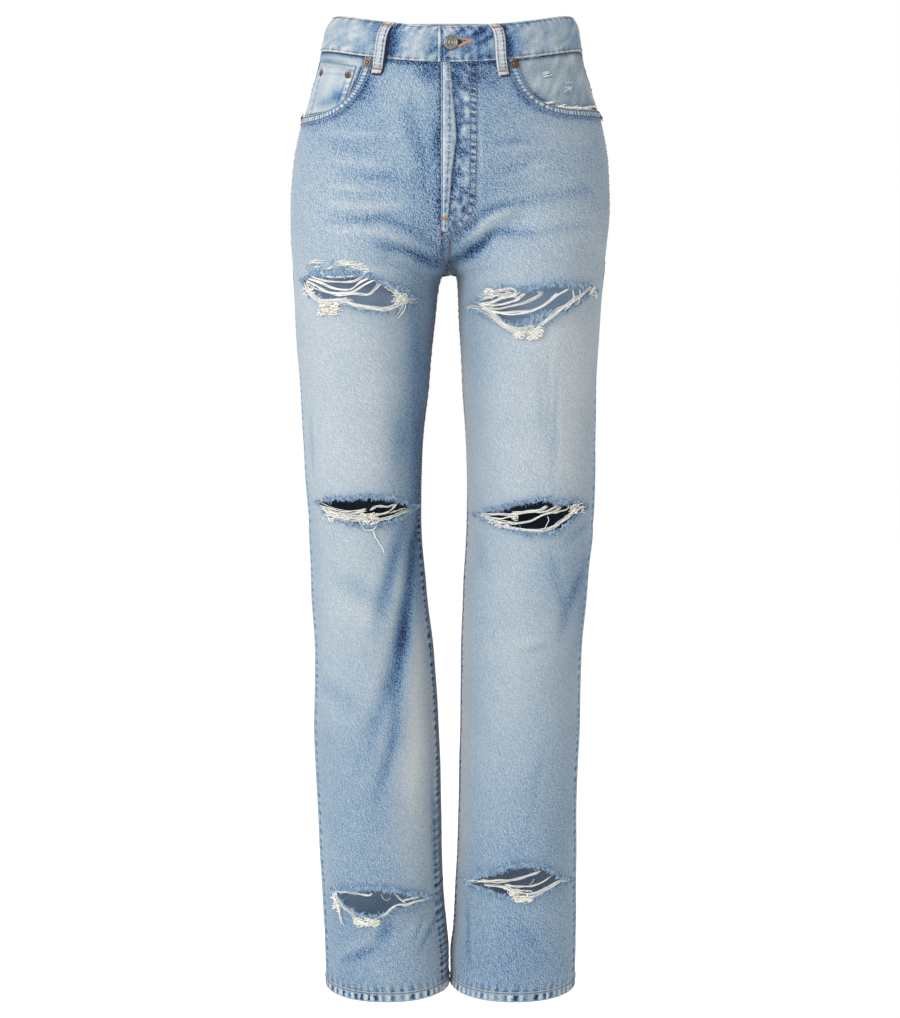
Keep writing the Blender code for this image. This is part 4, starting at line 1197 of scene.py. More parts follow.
def yoke_panel(leg):
    """A yoke, between a back and the waistband."""
    shares = np.linspace(0, 1, 60)
    low = yoke_line(shares)[None]
    t = np.linspace(0, 1, 20)[:, None]
    heights = low + t * (OUTSEAM - 0.1 - low)
    arcs = spread(leg, -1, heights, shares)
    roll = -0.9 * bell(t * (OUTSEAM - low), 1.2) + 0.5
    seam = (arcs + 3300.0, 0.30 * bell(t * 42, 8))
    away = roll + 0.8 * seam[1] * pucker(seam[0])
    on_leg(f"yoke_{leg}", leg, heights, arcs, away, fade(leg, heights, arcs), PANEL_WALL, seam, behind=True)


def hem_ring(leg):
    """The foot of the leg, turned up inside: roped along its edge, with dark and pale patches."""
    rises = np.array([0.0, 0.3, 0.9, 1.8, 3.0, 4.5, 6.0, 7.5, 9.0, 10.3, 12.1])
    ends = {face: SURFACES[leg].length(face, HEM_TOP) * face for face in (1, -1)}
    arcs = np.linspace(ends[-1], ends[1], 221)[:-1]
    rises, arcs = np.broadcast_arrays(rises[:, None], arcs[None])
    heights = FOOT + rises
    run, _ = gathers(leg, np.full(arcs.shape, HEM_TOP), arcs)
    edge = np.interp(rises, [0.0, 0.3, 0.9, 1.8, 10.3, 12.1], [-0.9, -0.1, 0.4, 0.6, 0.35, 0.0])
    away = edge + 0.40 * pucker(run) * bell(rises, 4.5, 4.5)
    inner = smoothstep((rises - 1.2) / 1.6) * smoothstep((9.4 - rises) / 1.6)
    tone = 0.5 * fade(leg, heights, arcs) + 0.34 + 0.10 * value_noise(arcs / 23, rises / 30, 5.0)
    tone += np.interp(
        rises, [0.0, 1.0, 2.0, 8.6, 9.4, 10.2, 11.0, 12.1], [0.08, 0.12, 0.0, 0.0, 0.10, -0.12, 0.20, 0.26],
    )
    weight = 0.05 + (0.52 + 0.3 * value_noise(run / 17, 0 * run, 4.0)) * inner
    on_leg(f"hem_{leg}", leg, heights, arcs, away, tone, HEM_WALL, (run, weight, 0.5), ring=True)


def facing(leg):
    """The cloth seen in a pocket mouth, behind the front panel."""
    rows, reach = np.linspace(OUTSEAM - 75, OUTSEAM - 0.4, 44), POCKET_REACH[leg] + 10
    t = np.linspace(0, 1, 60)
    heights = np.repeat(rows[:, None], len(t), axis=1)
    first = seam_value("outseam", heights) + 0.2
    arcs = first + t * (reach - first)
    depth = 1.2 if leg == "left" else 0.9 + 1.5 * smoothstep((arcs - first) / 18)
    soft = 0.35 * value_noise(arcs / 17, heights / 13, 4.0)
    if leg == "left":
        x = SURFACES[leg].flat(heights, arcs)[0]
        away = past_mouth(leg, heights, arcs) * 75
        tone = 0.83 + 0.13 * value_noise(arcs / 20, heights / 16, 2.0) - 0.12 * smoothstep((x - 132) / 20)
        tone += 0.15 * value_noise((arcs + heights) / 7, (arcs - heights) / 26, 12.0)
        tone -= 0.26 * bell(away, 15) * smoothstep((OUTSEAM - 18 - heights) / 26)
    else:
        tone = 0.80 + 0.10 * value_noise(arcs / 14, heights / 9, 2.0)
        # Painted shadow beside the coin pocket's right edge, and a painted shadow line just above its top.
        beside = smoothstep((OUTSEAM - 9 - heights) / 4) * smoothstep((heights - OUTSEAM + 62) / 10)
        tone -= 0.60 * bell(arcs, 2.6, 94.0) * beside
        tone -= 0.34 * bell(heights, 2.2, OUTSEAM - 8.6) * smoothstep((80 - arcs) / 20)
    # Painted shadow lines under the waistband and along the edge of the pocket mouth.
    tone -= 0.72 * bell(heights, 3.2, OUTSEAM)
    tone -= 0.45 * bell(past_mouth(leg, heights, arcs) * 75, 2.6)
    seam, material = (0.0, 0.0, 0.6), FACING if leg == "left" else DENIM
    on_leg(f"pocket_facing_{leg}", leg, heights, arcs, soft - depth, tone, POCKET_WALL, seam, material)


def from_corners(corners, rows, columns):
    """A grid over four corners, given as (arc, height) from the lower left, going round."""
    (a0, h0), (a1, h1), (a2, h2), (a3, h3) = corners
    u, v = np.meshgrid(np.linspace(0, 1, columns), np.linspace(0, 1, rows))
    arcs = (1 - v) * ((1 - u) * a0 + u * a1) + v * ((1 - u) * a3 + u * a2)
    heights = (1 - v) * ((1 - u) * h0 + u * h1) + v * ((1 - u) * h3 + u * h2)
    return u, v, arcs, heights


def coin_pocket():
    """The small pocket on the right facing."""
    corners = ((36, OUTSEAM - 68), (91, OUTSEAM - 62), (88, OUTSEAM - 11), (24, OUTSEAM - 10))
    u, v, arcs, heights = from_corners(corners, 36, 48)
    side = np.minimum(u, 1 - u) * 58
    roll = np.interp(side, [0, 0.6, 1.6, 60], [-0.8, 0.0, 0.3, 0.3])
    roll += np.interp((1 - v) * 51, [0, 0.7, 9, 10.5, 60], [-0.7, 0.35, 0.35, 0.0, 0.0])
    seam = (heights * 1.1 + 3700.0, 0.30 * bell(side, 6.0))
    soft = 0.3 * value_noise(arcs / 14, heights / 11, 7.0)
    away = roll + 0.7 * seam[1] * pucker(seam[0]) - 0.9 + soft
    drop = (1 - v) * 54
    tone = 0.84 + 0.10 * value_noise(arcs / 12, heights / 12, 9.0)
    tone -= 0.52 * bell(u, 0.15, 0.80) * bell(v, 0.15, 0.32)
    tone -= 0.30 * bell(u, 0.24, 0.52) * bell(v, 0.09, 0.20)
    tone = tone + 0.16 * bell(side, 1.5) - 0.34 * bell(side, 1.5, 7.0) * smoothstep((0.8 - v) / 0.2)
    tone = tone - 0.45 * bell(drop, 1.2, 1.0) - 0.16 * bell(drop, 2.0, 4.5) - 0.14 * bell(drop, 1.5, 12)
    on_leg("coin_pocket", "right", heights, arcs, away, tone, POCKET_WALL, (*seam, 0.5))


def fly_stitch_row(heights):
    """How far the straight row of stitches runs from the fly's edge."""
    return np.interp(heights, [866, 893, 943, 1002, 1031], [4.2, 5.8, 8.0, 8.0, 6.8])


def fly_edge():
    """The folded edge of the left front over the right, ending at the bar tack."""
    rows = levels((845, 1039.8, 1.6))[:, None]
    last = surface_end("left", rows) + 0.9
    width = placket_width(rows) + 0.9 + 0.4 * value_noise(rows / 9, 0 * rows, 5.0)
    near = np.array([0, 0.3, 0.8, 1.1, 1.5, 1.9, 2.3, 2.8, 3.6])
    away = np.concatenate([near + 0 * rows, 3.6 + (width - 3.6) * np.linspace(0, 1, 12)[1:]], axis=1)[:, ::-1]
    heights, arcs = rows + 0 * away, last - away
    run = heights * 1.1 + 4100.0
    far = width - away
    bulge = np.sin(np.clip(away / width, 0, 1) * math.pi) ** 0.7
    rolled = np.interp(away, [0, 0.8, 1.1, 1.5, 1.9, 2.3], [-1.2, 0.1, -0.5, -0.5, 0.0, 0.2])
    shape = 1.35 + 0.6 * bulge + rolled - 1.2 * bell(far, 0.8)
    tone = np.interp(
        away, [0, 0.8, 1.1, 1.5, 1.9, 2.4, 3.2, 4.2, 30], [0.8, 0.8, 0.0, 0.0, 0.5, 1.0, 0.9, 0.68, 0.68],
    )
    tone = tone + 0.26 * bell(far, 1.6) + 0.12 * value_noise(arcs / 5, heights / 16, 6.0)
    row = fly_stitch_row(heights) + 0.9
    tone = tone - 0.22 * bell(away, 1.4, row) - 0.20 * smoothstep((heights - 1030) / 8)
    seam = (run, 0.24 * bell(away, 2.4, row), 0.75)
    lift = shape + 0.2 * pucker(run) * bulge
    on_leg("fly_placket", "left", heights, arcs, lift, tone, FLY_WALL, seam, DENIM_PALE)


BACK_POCKET_CENTRE = 118.0


def back_pocket_top(share):
    """Height of a back pocket's upper edge, across it from -1 to 1."""
    return np.interp(share, [-1, 1], [962, 950])


def back_pocket_side(heights):
    """Half the width of a back pocket."""
    return np.interp(heights, [818, 850, 956], [60, 60.5, 66])


def back_pocket(leg):
    """A patch pocket on a back."""
    across, down = np.linspace(-1, 1, 62), np.linspace(0, 1, 62)
    s, t = np.meshgrid(across, down)
    bottom = np.interp(s, [-1, 0.05, 1], [856, 818, 850])
    heights = bottom + t * (back_pocket_top(s) - bottom)
    arcs = -BACK_POCKET_CENTRE - s * back_pocket_side(heights)
    edge = np.minimum((1 - np.abs(s)) * 62, np.minimum(t, 1 - t) * 100)
    seam = (arcs + heights + 4500.0, 0.30 * bell(edge, 6))
    roll = np.interp(edge, [0, 0.8, 2, 70], [-0.7, 0.4, 0.9, 0.9]) + 0.8 * seam[1] * pucker(seam[0])
    tone = fade(leg, heights, arcs) * 0.6 + 0.36 + 0.2 * bell(edge, 1.6) - 0.15 * bell(edge, 2, 8)
    on_leg(f"back_pocket_{leg}", leg, heights, arcs, roll, tone, PANEL_WALL, seam, behind=True)


# ---------------------------------------------------------------- waistband, loops
# How far the band stands off the cloth; how far its right end runs on under the left one, how deep it sinks
# there and over what length; and how far its left end passes the fly's edge.
BAND_OUT, OVERLAP, UNDER_STEP, STEP_LENGTH, PAST_FLY = 0.6, 42.0, 2.7, 16.0, 4.2
# x and tone along the front of the band; the dip near x -72 is painted shadow beside the right front loop.
BAND_TONES = (
    (-135, 0.71), (-120, 0.77), (-100, 0.77), (-84, 0.56), (-72, 0.36), (-60, 0.50), (-44, 0.60), (-30, 0.60),
    (-18, 0.50), (-9, 0.38), (0, 0.46), (14, 0.32), (30, 0.23), (46, 0.32), (56, 0.44), (70, 0.56),
    (90, 0.71), (112, 0.66), (130, 0.55),
)


def band_stations():
    """(leg, arcs) of the two halves of the waistband, from under the button to the fly's edge."""
    right, left = SURFACES["right"], SURFACES["left"]
    right_end, left_end = (float(surface.length(1, OUTSEAM)) for surface in (right, left))
    return (
        ("right", np.linspace(right_end + OVERLAP, -float(right.length(-1, OUTSEAM)), 260)),
        ("left", np.linspace(-float(left.length(-1, OUTSEAM)), left_end + PAST_FLY, 236)[1:]),
    )


def band_places(leg, arcs, rises):
    """Heights and arcs of waistband points: each station keeps its share of the way round."""
    heights = OUTSEAM + np.asarray(rises, float)
    surface = SURFACES[leg]
    front = surface.length(1, heights) / surface.length(1, OUTSEAM)
    back = surface.length(-1, heights) / surface.length(-1, OUTSEAM)
    return heights, arcs * np.where(arcs > 0, front, back)


def streaks(sideways, rises, long, thick, seed):
    """Diagonal marks of the wash, rising to the right."""
    turn = math.radians(24)
    along = sideways * math.cos(turn) + rises * math.sin(turn)
    return value_noise(along / long, (rises * math.cos(turn) - sideways * math.sin(turn)) / thick, seed)


def waistband():
    """The band round the waist, its left end lapped over its right."""
    rises = np.array([
        0.15, 0.5, 1.2, 2.2, 3.5, 6, 9, 12, 16, 20, 24, 28, 31, 33.5, 35, 36.3, 37.2, 37.7, 38.0,
    ])
    profile = np.interp(
        rises, [0.15, 0.5, 1.2, 2.2, 35, 36.3, 37.2, 37.7, 38],
        [-1.2, -0.3, 0.2, 0.3, 0.3, 0.2, -0.15, -0.6, -1.3],
    )
    rims = (bell(rises, 3.0, 2.5) + bell(rises, 3.0, 34.5))[:, None]
    knots = np.array(BAND_TONES)
    loops = [(leg, arc) for _, leg, arc, _ in BELT_LOOPS if arc is not None]
    columns = []
    for leg, arcs in band_stations():
        heights, here = np.broadcast_arrays(*band_places(leg, arcs[None], rises[:, None]))
        surface = SURFACES[leg]
        way = WAY[leg]
        end = float(surface.length(1, OUTSEAM))
        sunk = UNDER_STEP * (1 - smoothstep((end - 6.5 - arcs) / STEP_LENGTH)) if leg == "right" else 0 * arcs
        x = surface.flat(heights, here)[0]
        run = here + (4900.0 if leg == "right" else 5900.0)
        to_end = end + PAST_FLY - arcs if leg == "left" else 99 + 0 * arcs
        front_end = 0.9 * bell(to_end, 1.0) + 0.25 * bell(to_end, 1.2, 5.0)
        lift = rises[:, None] + 0 * here
        creased = streaks(way * here, lift, 20, 4.5, 3.0) + 0.6 * streaks(way * here, lift, 11, 2.6, 8.0)
        away = BAND_OUT + profile[:, None] + 0.22 * pucker(run) * rims + 0.28 * creased - sunk - front_end
        points = surface.off(heights, here, away)
        tone = np.where(here > 0, np.interp(x, knots[:, 0], knots[:, 1]), 0.58)
        near_fly = bell(x, 60, 4) * (here > 0)
        tone = tone + (0.17 + 0.22 * near_fly) * creased + 0.10 * value_noise(here / 9, heights / 9, 1.0)
        edges = np.interp(
            rises, [0, 0.5, 1.7, 2.4, 3.2, 4.0, 5.5, 33, 35, 36.6, 38],
            [0.3, 0.42, 0.40, -0.16, -0.16, 0.1, 0, 0, 0.02, 0.12, 0.22],
        )
        tone += edges[:, None]
        tone += np.interp(to_end, [0, 1.0, 2.4, 3.3, 4.6, 6.0], [0.4, 0.4, 0.2, -0.4, -0.4, 0.0])
        # Painted shadow on the band beside one edge of each belt loop.
        for side, arc in loops:
            if side == leg:
                beside = way * (here - arc) - LOOP_WIDTH / 2
                tone = tone - 0.6 * bell(beside, 3.5, 2.0) - 0.2 * bell(beside, 6.0, 8.0)
        weight = 0.22 * rims + 0.10 * near_fly
        columns.append((*np.moveaxis(points, -1, 0), tone, heights, here, run, weight, 0.5 + 0.2 * near_fly))
    parts = [np.concatenate(part, axis=1) for part in zip(*columns)]
    points, (tones, heights, arcs, *seam) = np.stack(parts[:3], axis=-1), parts[3:]
    quads = grid_quads(*tones.shape, True)
    cloth("waistband", (heights, arcs), points, tones, quads, BAND_WALL, seam)


LOOP_WIDTH = 11.4
# Name, leg, arc of its middle (None at the centre back), and how far it slants over 50 mm.
BELT_LOOPS = (
    ("belt_loop_front_right", "right", 112.4, -6.2),
    ("belt_loop_front_left", "left", 136.6, -6.9),
    ("belt_loop_side_right", "right", -26.0, 0.0),
    ("belt_loop_side_left", "left", -26.0, 0.0),
    ("belt_loop_back", "right", None, 0.0),
)
# A loop's course: height from the waistband seam, distance off the smooth surface.
LOOP_COURSE = (
    (-17.4, 1.6), (-16.2, 2.4), (-11, 2.5), (-5, 4.8), (2, 5.4), (20, 5.4), (31, 4.7), (35, 3.6), (37, 2.6),
    (37.8, 1.6),
)


def loop_middle(leg, arc, heights):
    """Arcs of the middle of a belt loop before its slant."""
    return -SURFACES[leg].length(-1, heights) if arc is None else np.full(np.shape(heights), float(arc))


def belt_loop(name, leg, arc, slant):
    """A loop over the waistband, along the course in LOOP_COURSE."""
    course = np.array(LOOP_COURSE)
    rises = np.interp(np.linspace(0, 1, 56), np.linspace(0, 1, len(course)), course[:, 0])
    rises = np.sort(np.concatenate([rises, [-17.0, -16.7]]))
    off = np.interp(rises, course[:, 0], course[:, 1])
    across = np.linspace(-1, 1, 23)
    heights = np.repeat((OUTSEAM + rises)[:, None], len(across), axis=1)
    middle = loop_middle(leg, arc, heights)
    arcs = middle + across * LOOP_WIDTH / 2 + slant * (rises[:, None] - 10) / 50
    edge = (1 - np.abs(across)) * LOOP_WIDTH / 2
    roll = np.interp(edge, [0, 0.5, 1.3, 6], [-0.9, -0.1, 0.2, 0.1])
    run = rises[:, None] * 1.3 + 6500.0 + 50 * len(name)
    away = off[:, None] + roll[None] + 0.18 * pucker(run) * bell(edge, 1.5, 1.8)[None]
    points = SURFACES[leg].off(heights, arcs, away, middle)
    to_right = (across if leg == "right" else -across)[None]
    tone = 0.88 + 0.20 * bell(edge, 1.0)[None] + 0.08 * value_noise(arcs / 4, heights / 9, float(len(name)))
    tone = tone - 0.14 * bell(to_right, 0.12, -0.60) - 0.50 * bell(to_right, 0.12, 0.56)
    tone = tone + 0.16 * bell(rises[:, None], 1.5, -15.0) - 0.2 * bell(rises[:, None], 1.0, -9.8)
    quads = grid_quads(*heights.shape, leg == "left")
    seam = (1.7 * run, 0.34 * bell(to_right, 0.20, 0.56) + 0.08, 0.45)
    cloth(name, (heights, arcs), points, tone, quads, LOOP_WALL, seam, DENIM_PALE)


# ---------------------------------------------------------------- metal
def lathe(name, profile, material, place, normal, steps=56):
    """A turned piece: (radius, height) points about a place, along a normal."""
    normal = normal / np.linalg.norm(normal)
    side = np.cross(normal, (0.0, 0.0, 1.0))
    side /= np.linalg.norm(side)
    up = np.cross(side, normal)
    turn = np.linspace(0, 2 * math.pi, steps, endpoint=False)
    radius, rise = np.array(profile, float).T
    ring = np.cos(turn)[None, :, None] * side + np.sin(turn)[None, :, None] * up
    points = place + radius[:, None, None] * ring + rise[:, None, None] * normal
    return add_mesh(name, points, grid_quads(len(profile), steps, True, closed=True), (material,))


BUTTON_PROFILE = (
    (8.1, 0.0), (8.5, 0.5), (8.5, 1.1), (8.25, 1.6), (7.8, 1.95), (7.2, 2.1), (6.7, 2.05), (6.4, 1.85),
    (6.15, 1.8), (5.9, 1.9), (5.6, 2.25), (5.2, 2.35), (4.8, 2.2), (4.5, 1.95), (4.2, 1.9), (3.0, 1.95),
    (2.7, 2.05), (2.4, 2.3), (2.0, 2.35), (1.6, 2.2), (1.3, 2.05), (0.6, 2.2), (0.02, 2.25),
)
RIVET_PROFILE = (
    (4.6, 0.0), (4.7, 0.3), (4.55, 0.6), (4.1, 0.8), (3.5, 0.85), (2.9, 0.7), (2.4, 0.7), (2.1, 1.1),
    (1.8, 1.6), (1.2, 1.85), (0.5, 1.9), (0.02, 1.9),
)


def seated(leg, height, arc, out):
    """A place off the smooth surface, and the way out from it."""
    normal = SURFACES[leg].normal(height, arc)
    return SURFACES[leg].base(height, arc) + normal * out, normal


BUTTON_HEIGHT = OUTSEAM + 20


def button():
    """The waist button, with plain rings on its face."""
    arc = float(surface_end("left", BUTTON_HEIGHT)) - 9.6
    place, normal = seated("left", BUTTON_HEIGHT, arc, 1.1)
    profile = [(0.9 * radius, 0.85 * rise) for radius, rise in BUTTON_PROFILE]
    return lathe("waist_button", profile, BUTTON_METAL, place, normal)


# Name, leg, height, arc and how far out.
RIVETS = (
    ("rivet_pocket_right_inner", "right", OUTSEAM - 6.5, 101.0, 0.9),
    ("rivet_pocket_left_inner", "left", OUTSEAM - 5.6, 124.0, 0.9),
    ("rivet_pocket_right_outer", "right", OUTSEAM - 70, 8.0, 0.5),
    ("rivet_pocket_left_outer", "left", OUTSEAM - 70, 8.0, 0.5),
    ("rivet_coin_inner", "right", OUTSEAM - 21.0, 82.4, -0.7),
    ("rivet_coin_outer", "right", OUTSEAM - 22.0, 35.0, -0.7),
)


def rivet(name, leg, height, arc, out):
    place, normal = seated(leg, height, arc, out)
    return lathe(name, RIVET_PROFILE, RIVET_METAL, place, normal, 32)


# ---------------------------------------------------------------- thread
def tube_parts(paths, radii, sides=4, tones=0.5):
    """(points, tones, quads) of many tubes; paths are (count, steps, 3), radii (count, steps)."""
    paths = np.asarray(paths, float)
    count, steps, _ = paths.shape
    radii = np.broadcast_to(radii, (count, steps))
    along = np.gradient(paths, axis=1)
    along /= np.maximum(1e-9, np.linalg.norm(along, axis=-1, keepdims=True))
    side = np.cross(along, (0.05, 1.0, 0.02))
    side /= np.maximum(1e-9, np.linalg.norm(side, axis=-1, keepdims=True))
    other = np.cross(side, along)
    turn = np.linspace(0, 2 * math.pi, sides, endpoint=False)
    ring = side[:, :, None] * np.cos(turn)[:, None] + other[:, :, None] * np.sin(turn)[:, None]
    points = paths[:, :, None] + ring * radii[..., None, None]
    quads = grid_quads(steps, sides, closed=True)
    quads = (quads[None] + (np.arange(count) * steps * sides)[:, None, None]).reshape(-1, 4)
    tone = np.broadcast_to(np.asarray(tones, float).reshape(-1, 1, 1), (count, steps, sides))
    return points.reshape(-1, 3), tone.ravel(), quads


def tubes(name, batches, material, slot):
    """One piece of many tubes, from (paths, radii, sides, tones) batches."""
    points, tones, quads, start = [], [], [], 0
    for batch in batches:
        p, t, q = tube_parts(*batch)
        points.append(p)
        tones.append(t)
        quads.append(q + start)
        start += len(p)
    made = add_mesh(name, np.concatenate(points), np.concatenate(quads), (material,), np.concatenate(tones))
    PIECES[name] = settle(made, slot)


# The furrows that stitching pulls into the cloth, one under each line of stitches, drawn as dark tubes:
# painted shade.
FURROWS = []
STITCH_PITCH, STITCH_SINK = 3.3, 0.35


def stitches(place_at, line, seed, length=2.4, radius=0.38):
    """Stitches along a line of (height, arc) points; place_at turns heights, arcs and lifts into points."""
    heights, arcs = (np.asarray(v, float) for v in line)
    track = place_at(heights, arcs, np.zeros(len(heights)))
    run = np.concatenate([[0], np.cumsum(np.linalg.norm(np.diff(track, axis=0), axis=1))])
    count = max(1, int(run[-1] / STITCH_PITCH))
    starts = (np.arange(count) + 0.2) * run[-1] / count
    along = starts[:, None] + np.array([0.0, 0.3, 0.7, 1.0]) * length
    lift = np.array([-STITCH_SINK, 0.2, 0.2, -STITCH_SINK]) + 0 * along
    h, a = np.interp(along, run, heights), np.interp(along, run, arcs)
    paths = place_at(h.ravel(), a.ravel(), lift.ravel()).reshape(count, 4, 3)
    radii = radius * np.array([0.6, 1.0, 1.0, 0.6])
    tones = 0.5 + 0.35 * np.sin(np.arange(count) * 1.7 + seed) * np.sin(np.arange(count) * 0.61 + 2 * seed)
    bed = np.linspace(0, run[-1], max(4, int(run[-1] / 3)))
    h, a = np.interp(bed, run, heights), np.interp(bed, run, arcs)
    # A dark tube in the furrow under the line: painted shade.
    FURROWS.append((place_at(h, a, np.full(len(bed), -0.45))[None], 0.6, 4, 0.5 + 0.4 * np.sin(seed)))
    return paths, radii, 4, tones


def on_panel(leg, out):
    """Turns heights, arcs and lifts into points over a leg's cloth."""
    return lambda heights, arcs, lifts: skin(leg, heights, arcs, out + lifts)


def panel_line(leg, face, low, high, inset, which):
    """A line down a panel beside its outseam ("out") or its inner seam ("in")."""
    heights = np.linspace(low, high, 160)
    first, last = span(leg, face, heights)
    return heights, (first + inset * face) if which == "out" else (last - inset * face)


# Round the back pocket's sides and foot: shares across it, and heights, stretch by stretch.
BACK_POCKET_ROUND = (
    ((-1, -1), (-1, 0.05), (0.05, 1), (1, 1)),
    ((960, 858), (856, 819), (819, 851), (852, 948)),
)


def seam_stitches():
    """(tan, smoke) stitches: those of the panels, yokes and back pockets, and of the pocket mouths."""
    tan, smoke = [], []
    for leg in LEGS:
        at = on_panel(leg, 0.15)
        for inset in (2.2, 8.2):
            tan.append(stitches(at, panel_line(leg, -1, HEM_TOP + 2, CROTCH - 2, inset, "in"), seed=inset))
            tan.append(stitches(at, panel_line(leg, -1, CROTCH + 2, 966, inset, "in"), seed=inset + 1))
        tan.append(stitches(at, panel_line(leg, 1, OUTSEAM - 230, OUTSEAM - 78, 1.8, "out"), seed=3.0))
        ends = [float(SURFACES[leg].length(face, HEM_TOP)) * face for face in (-1, 1)]
        ring = np.linspace(ends[0], ends[1], 300)
        line = (np.full(300, FOOT + 10.3), ring)
        tan.append(stitches(on_panel(leg, 0.35), line, length=2.6, radius=0.5, seed=5.0))
        for offset in (1.6, 8.4):
            arcs, heights = mouth_curve(leg, 200, offset)
            inside = (arcs > seam_value("outseam", heights) + 2) & (heights < OUTSEAM - 2)
            line = (heights[inside], arcs[inside])
            smoke.append(stitches(on_panel(leg, 0.75), line, radius=0.46, seed=offset))
        shares = np.linspace(0.01, 0.99, 120)
        for rise in (1.8, 7.6):
            heights = yoke_line(shares) + rise
            tan.append(stitches(on_panel(leg, 0.6), (heights, spread(leg, -1, heights, shares)), seed=rise))
        for inset in (2.2, 8.4):
            s, h = (np.concatenate([np.linspace(*ends, 40) for ends in row]) for row in BACK_POCKET_ROUND)
            h = 896 + (h - 896) * (1 - inset / 70)
            line = (h, -BACK_POCKET_CENTRE - s * back_pocket_side(h) * (1 - inset / 62))
            tan.append(stitches(on_panel(leg, 1.05), line, seed=inset))
        s = np.linspace(-0.95, 0.95, 60)
        for drop in (2.5, 10.0):
            h = back_pocket_top(s) - drop
            tan.append(stitches(on_panel(leg, 1.05), (h, -BACK_POCKET_CENTRE - s * 64), seed=drop))
    return tan, smoke


def fly_stitches():
    """The rows down the fly, the one on the placket, and the two from the crotch up to the fly."""
    tan = []
    at = on_panel("left", 0.2)
    for seed, which in enumerate(FLY_ROWS):
        heights, arcs = fly_row(which, 200).T
        tan.append(stitches(at, (heights, arcs), radius=0.46, seed=seed + 1.0))
    heights = np.linspace(860, 1037, 150)
    line = (heights, surface_end("left", heights) - fly_stitch_row(heights))
    tan.append(stitches(on_panel("left", 1.9), line, seed=3.0))
    heights = np.linspace(CROTCH + 1.5, 838, 40)
    last = surface_end("left", heights)
    for inset in (1.8, 7.6):
        tan.append(stitches(at, (heights, last - inset), seed=inset))
    return tan


def band_stitches():
    """The rows along both edges of the waistband, and across its left end."""
    made = []
    for leg, arcs in band_stations():
        end = float(SURFACES[leg].length(1, OUTSEAM))
        arcs = arcs[arcs < end - 22] if leg == "right" else arcs[arcs < end - 1]

        def place_at(rises, stations, lifts):
            return SURFACES[leg].off(*band_places(leg, stations, rises), BAND_OUT + 0.45 + lifts)

        for rise in (2.6, 35.4):
            made.append(stitches(place_at, (np.full(len(arcs), rise), arcs), seed=rise))
        if leg == "left":
            rises = np.linspace(3, 35, 30)
            made.append(stitches(place_at, (rises, np.full(30, end + 0.2)), seed=4.0))
    return made


def satin(place_at, start, end, width, radius=0.3, pitch=0.42):
    """A bar tack: close stitches across a line from start to end, both (height, arc)."""
    length = math.dist(start, end)
    count = max(3, int(length / pitch))
    t = np.linspace(0, 1, count)
    h = start[0] + t * (end[0] - start[0])
    a = start[1] + t * (end[1] - start[1])
    dh, da = -(end[1] - start[1]) / length * width / 2, (end[0] - start[0]) / length * width / 2
    shares = np.array([-1.0, -0.7, 0.0, 0.7, 1.0])
    jitter = 1 + 0.12 * np.sin(np.arange(count) * 2.3)
    hs, as_ = h[:, None] + dh * shares * jitter[:, None], a[:, None] + da * shares * jitter[:, None]
    lift = np.array([-0.3, 0.25, 0.4, 0.25, -0.3]) + 0 * hs
    paths = place_at(hs.ravel(), as_.ravel(), lift.ravel()).reshape(count, 5, 3)
    return paths, radius, 4, 0.5 + 0.3 * np.sin(np.arange(count) * 1.3)


def bar_tacks():
    """(tacks, rows, loop_shadows): at the loops and the fly, down the loops, and dark tubes beside the loops
    as painted shadow.
    """
    orange, tan, loop_shadows = [], [], []
    for name, leg, arc, slant in BELT_LOOPS:
        for rise, off in ((-12.5, 2.7), (33.5, 4.3)):
            height = OUTSEAM + rise
            middle = float(loop_middle(leg, arc, height)) + slant * (rise - 10) / 50

            def place_at(heights, arcs, lifts):
                return SURFACES[leg].off(heights, arcs, off + lifts, np.full(len(arcs), middle))

            orange.append(satin(place_at, (height, middle - 5.0), (height, middle + 5.0), 1.7))
        course = np.array(LOOP_COURSE)
        way = WAY[leg]

        def on_loop(rises, shifts, lifts):
            heights = OUTSEAM + rises
            middle = loop_middle(leg, arc, heights)
            arcs = middle + shifts + slant * (rises - 10) / 50
            off = np.interp(rises, course[:, 0], course[:, 1])
            return SURFACES[leg].off(heights, arcs, off + 0.15 + lifts, middle)

        rises = np.linspace(-10, 36, 40)
        for share in (-0.60, 0.56):
            beside = np.full(40, way * share * LOOP_WIDTH / 2)
            tan.append(stitches(on_loop, (rises, beside), seed=len(name) + share))
        # Painted shadow: a dark tube in the gap under the loop's edge and foot.
        rises = np.concatenate([np.linspace(33, -14, 24), np.full(8, -17.6)])
        half = LOOP_WIDTH / 2
        shifts = way * np.concatenate([np.full(24, half + 0.5), np.linspace(half - 1, -half + 2, 8)])
        under = np.interp(rises, [-18, -12, 0, 30], [-0.6, -1.6, -3.2, -3.2])
        loop_shadows.append((on_loop(rises, shifts, under)[None], 1.15, 6, [0.3]))
    for height, first, last in ((858, -7.8, 0.9), (846.2, -3.1, 1.6), (837.6, -1.5, 1.8)):
        end = float(surface_end("left", height))
        at = on_panel("left", 2.0 if height > 850 else 0.5)
        orange.append(satin(at, (height, end + first), (height, end + last), 1.8))
    return orange, tan, loop_shadows


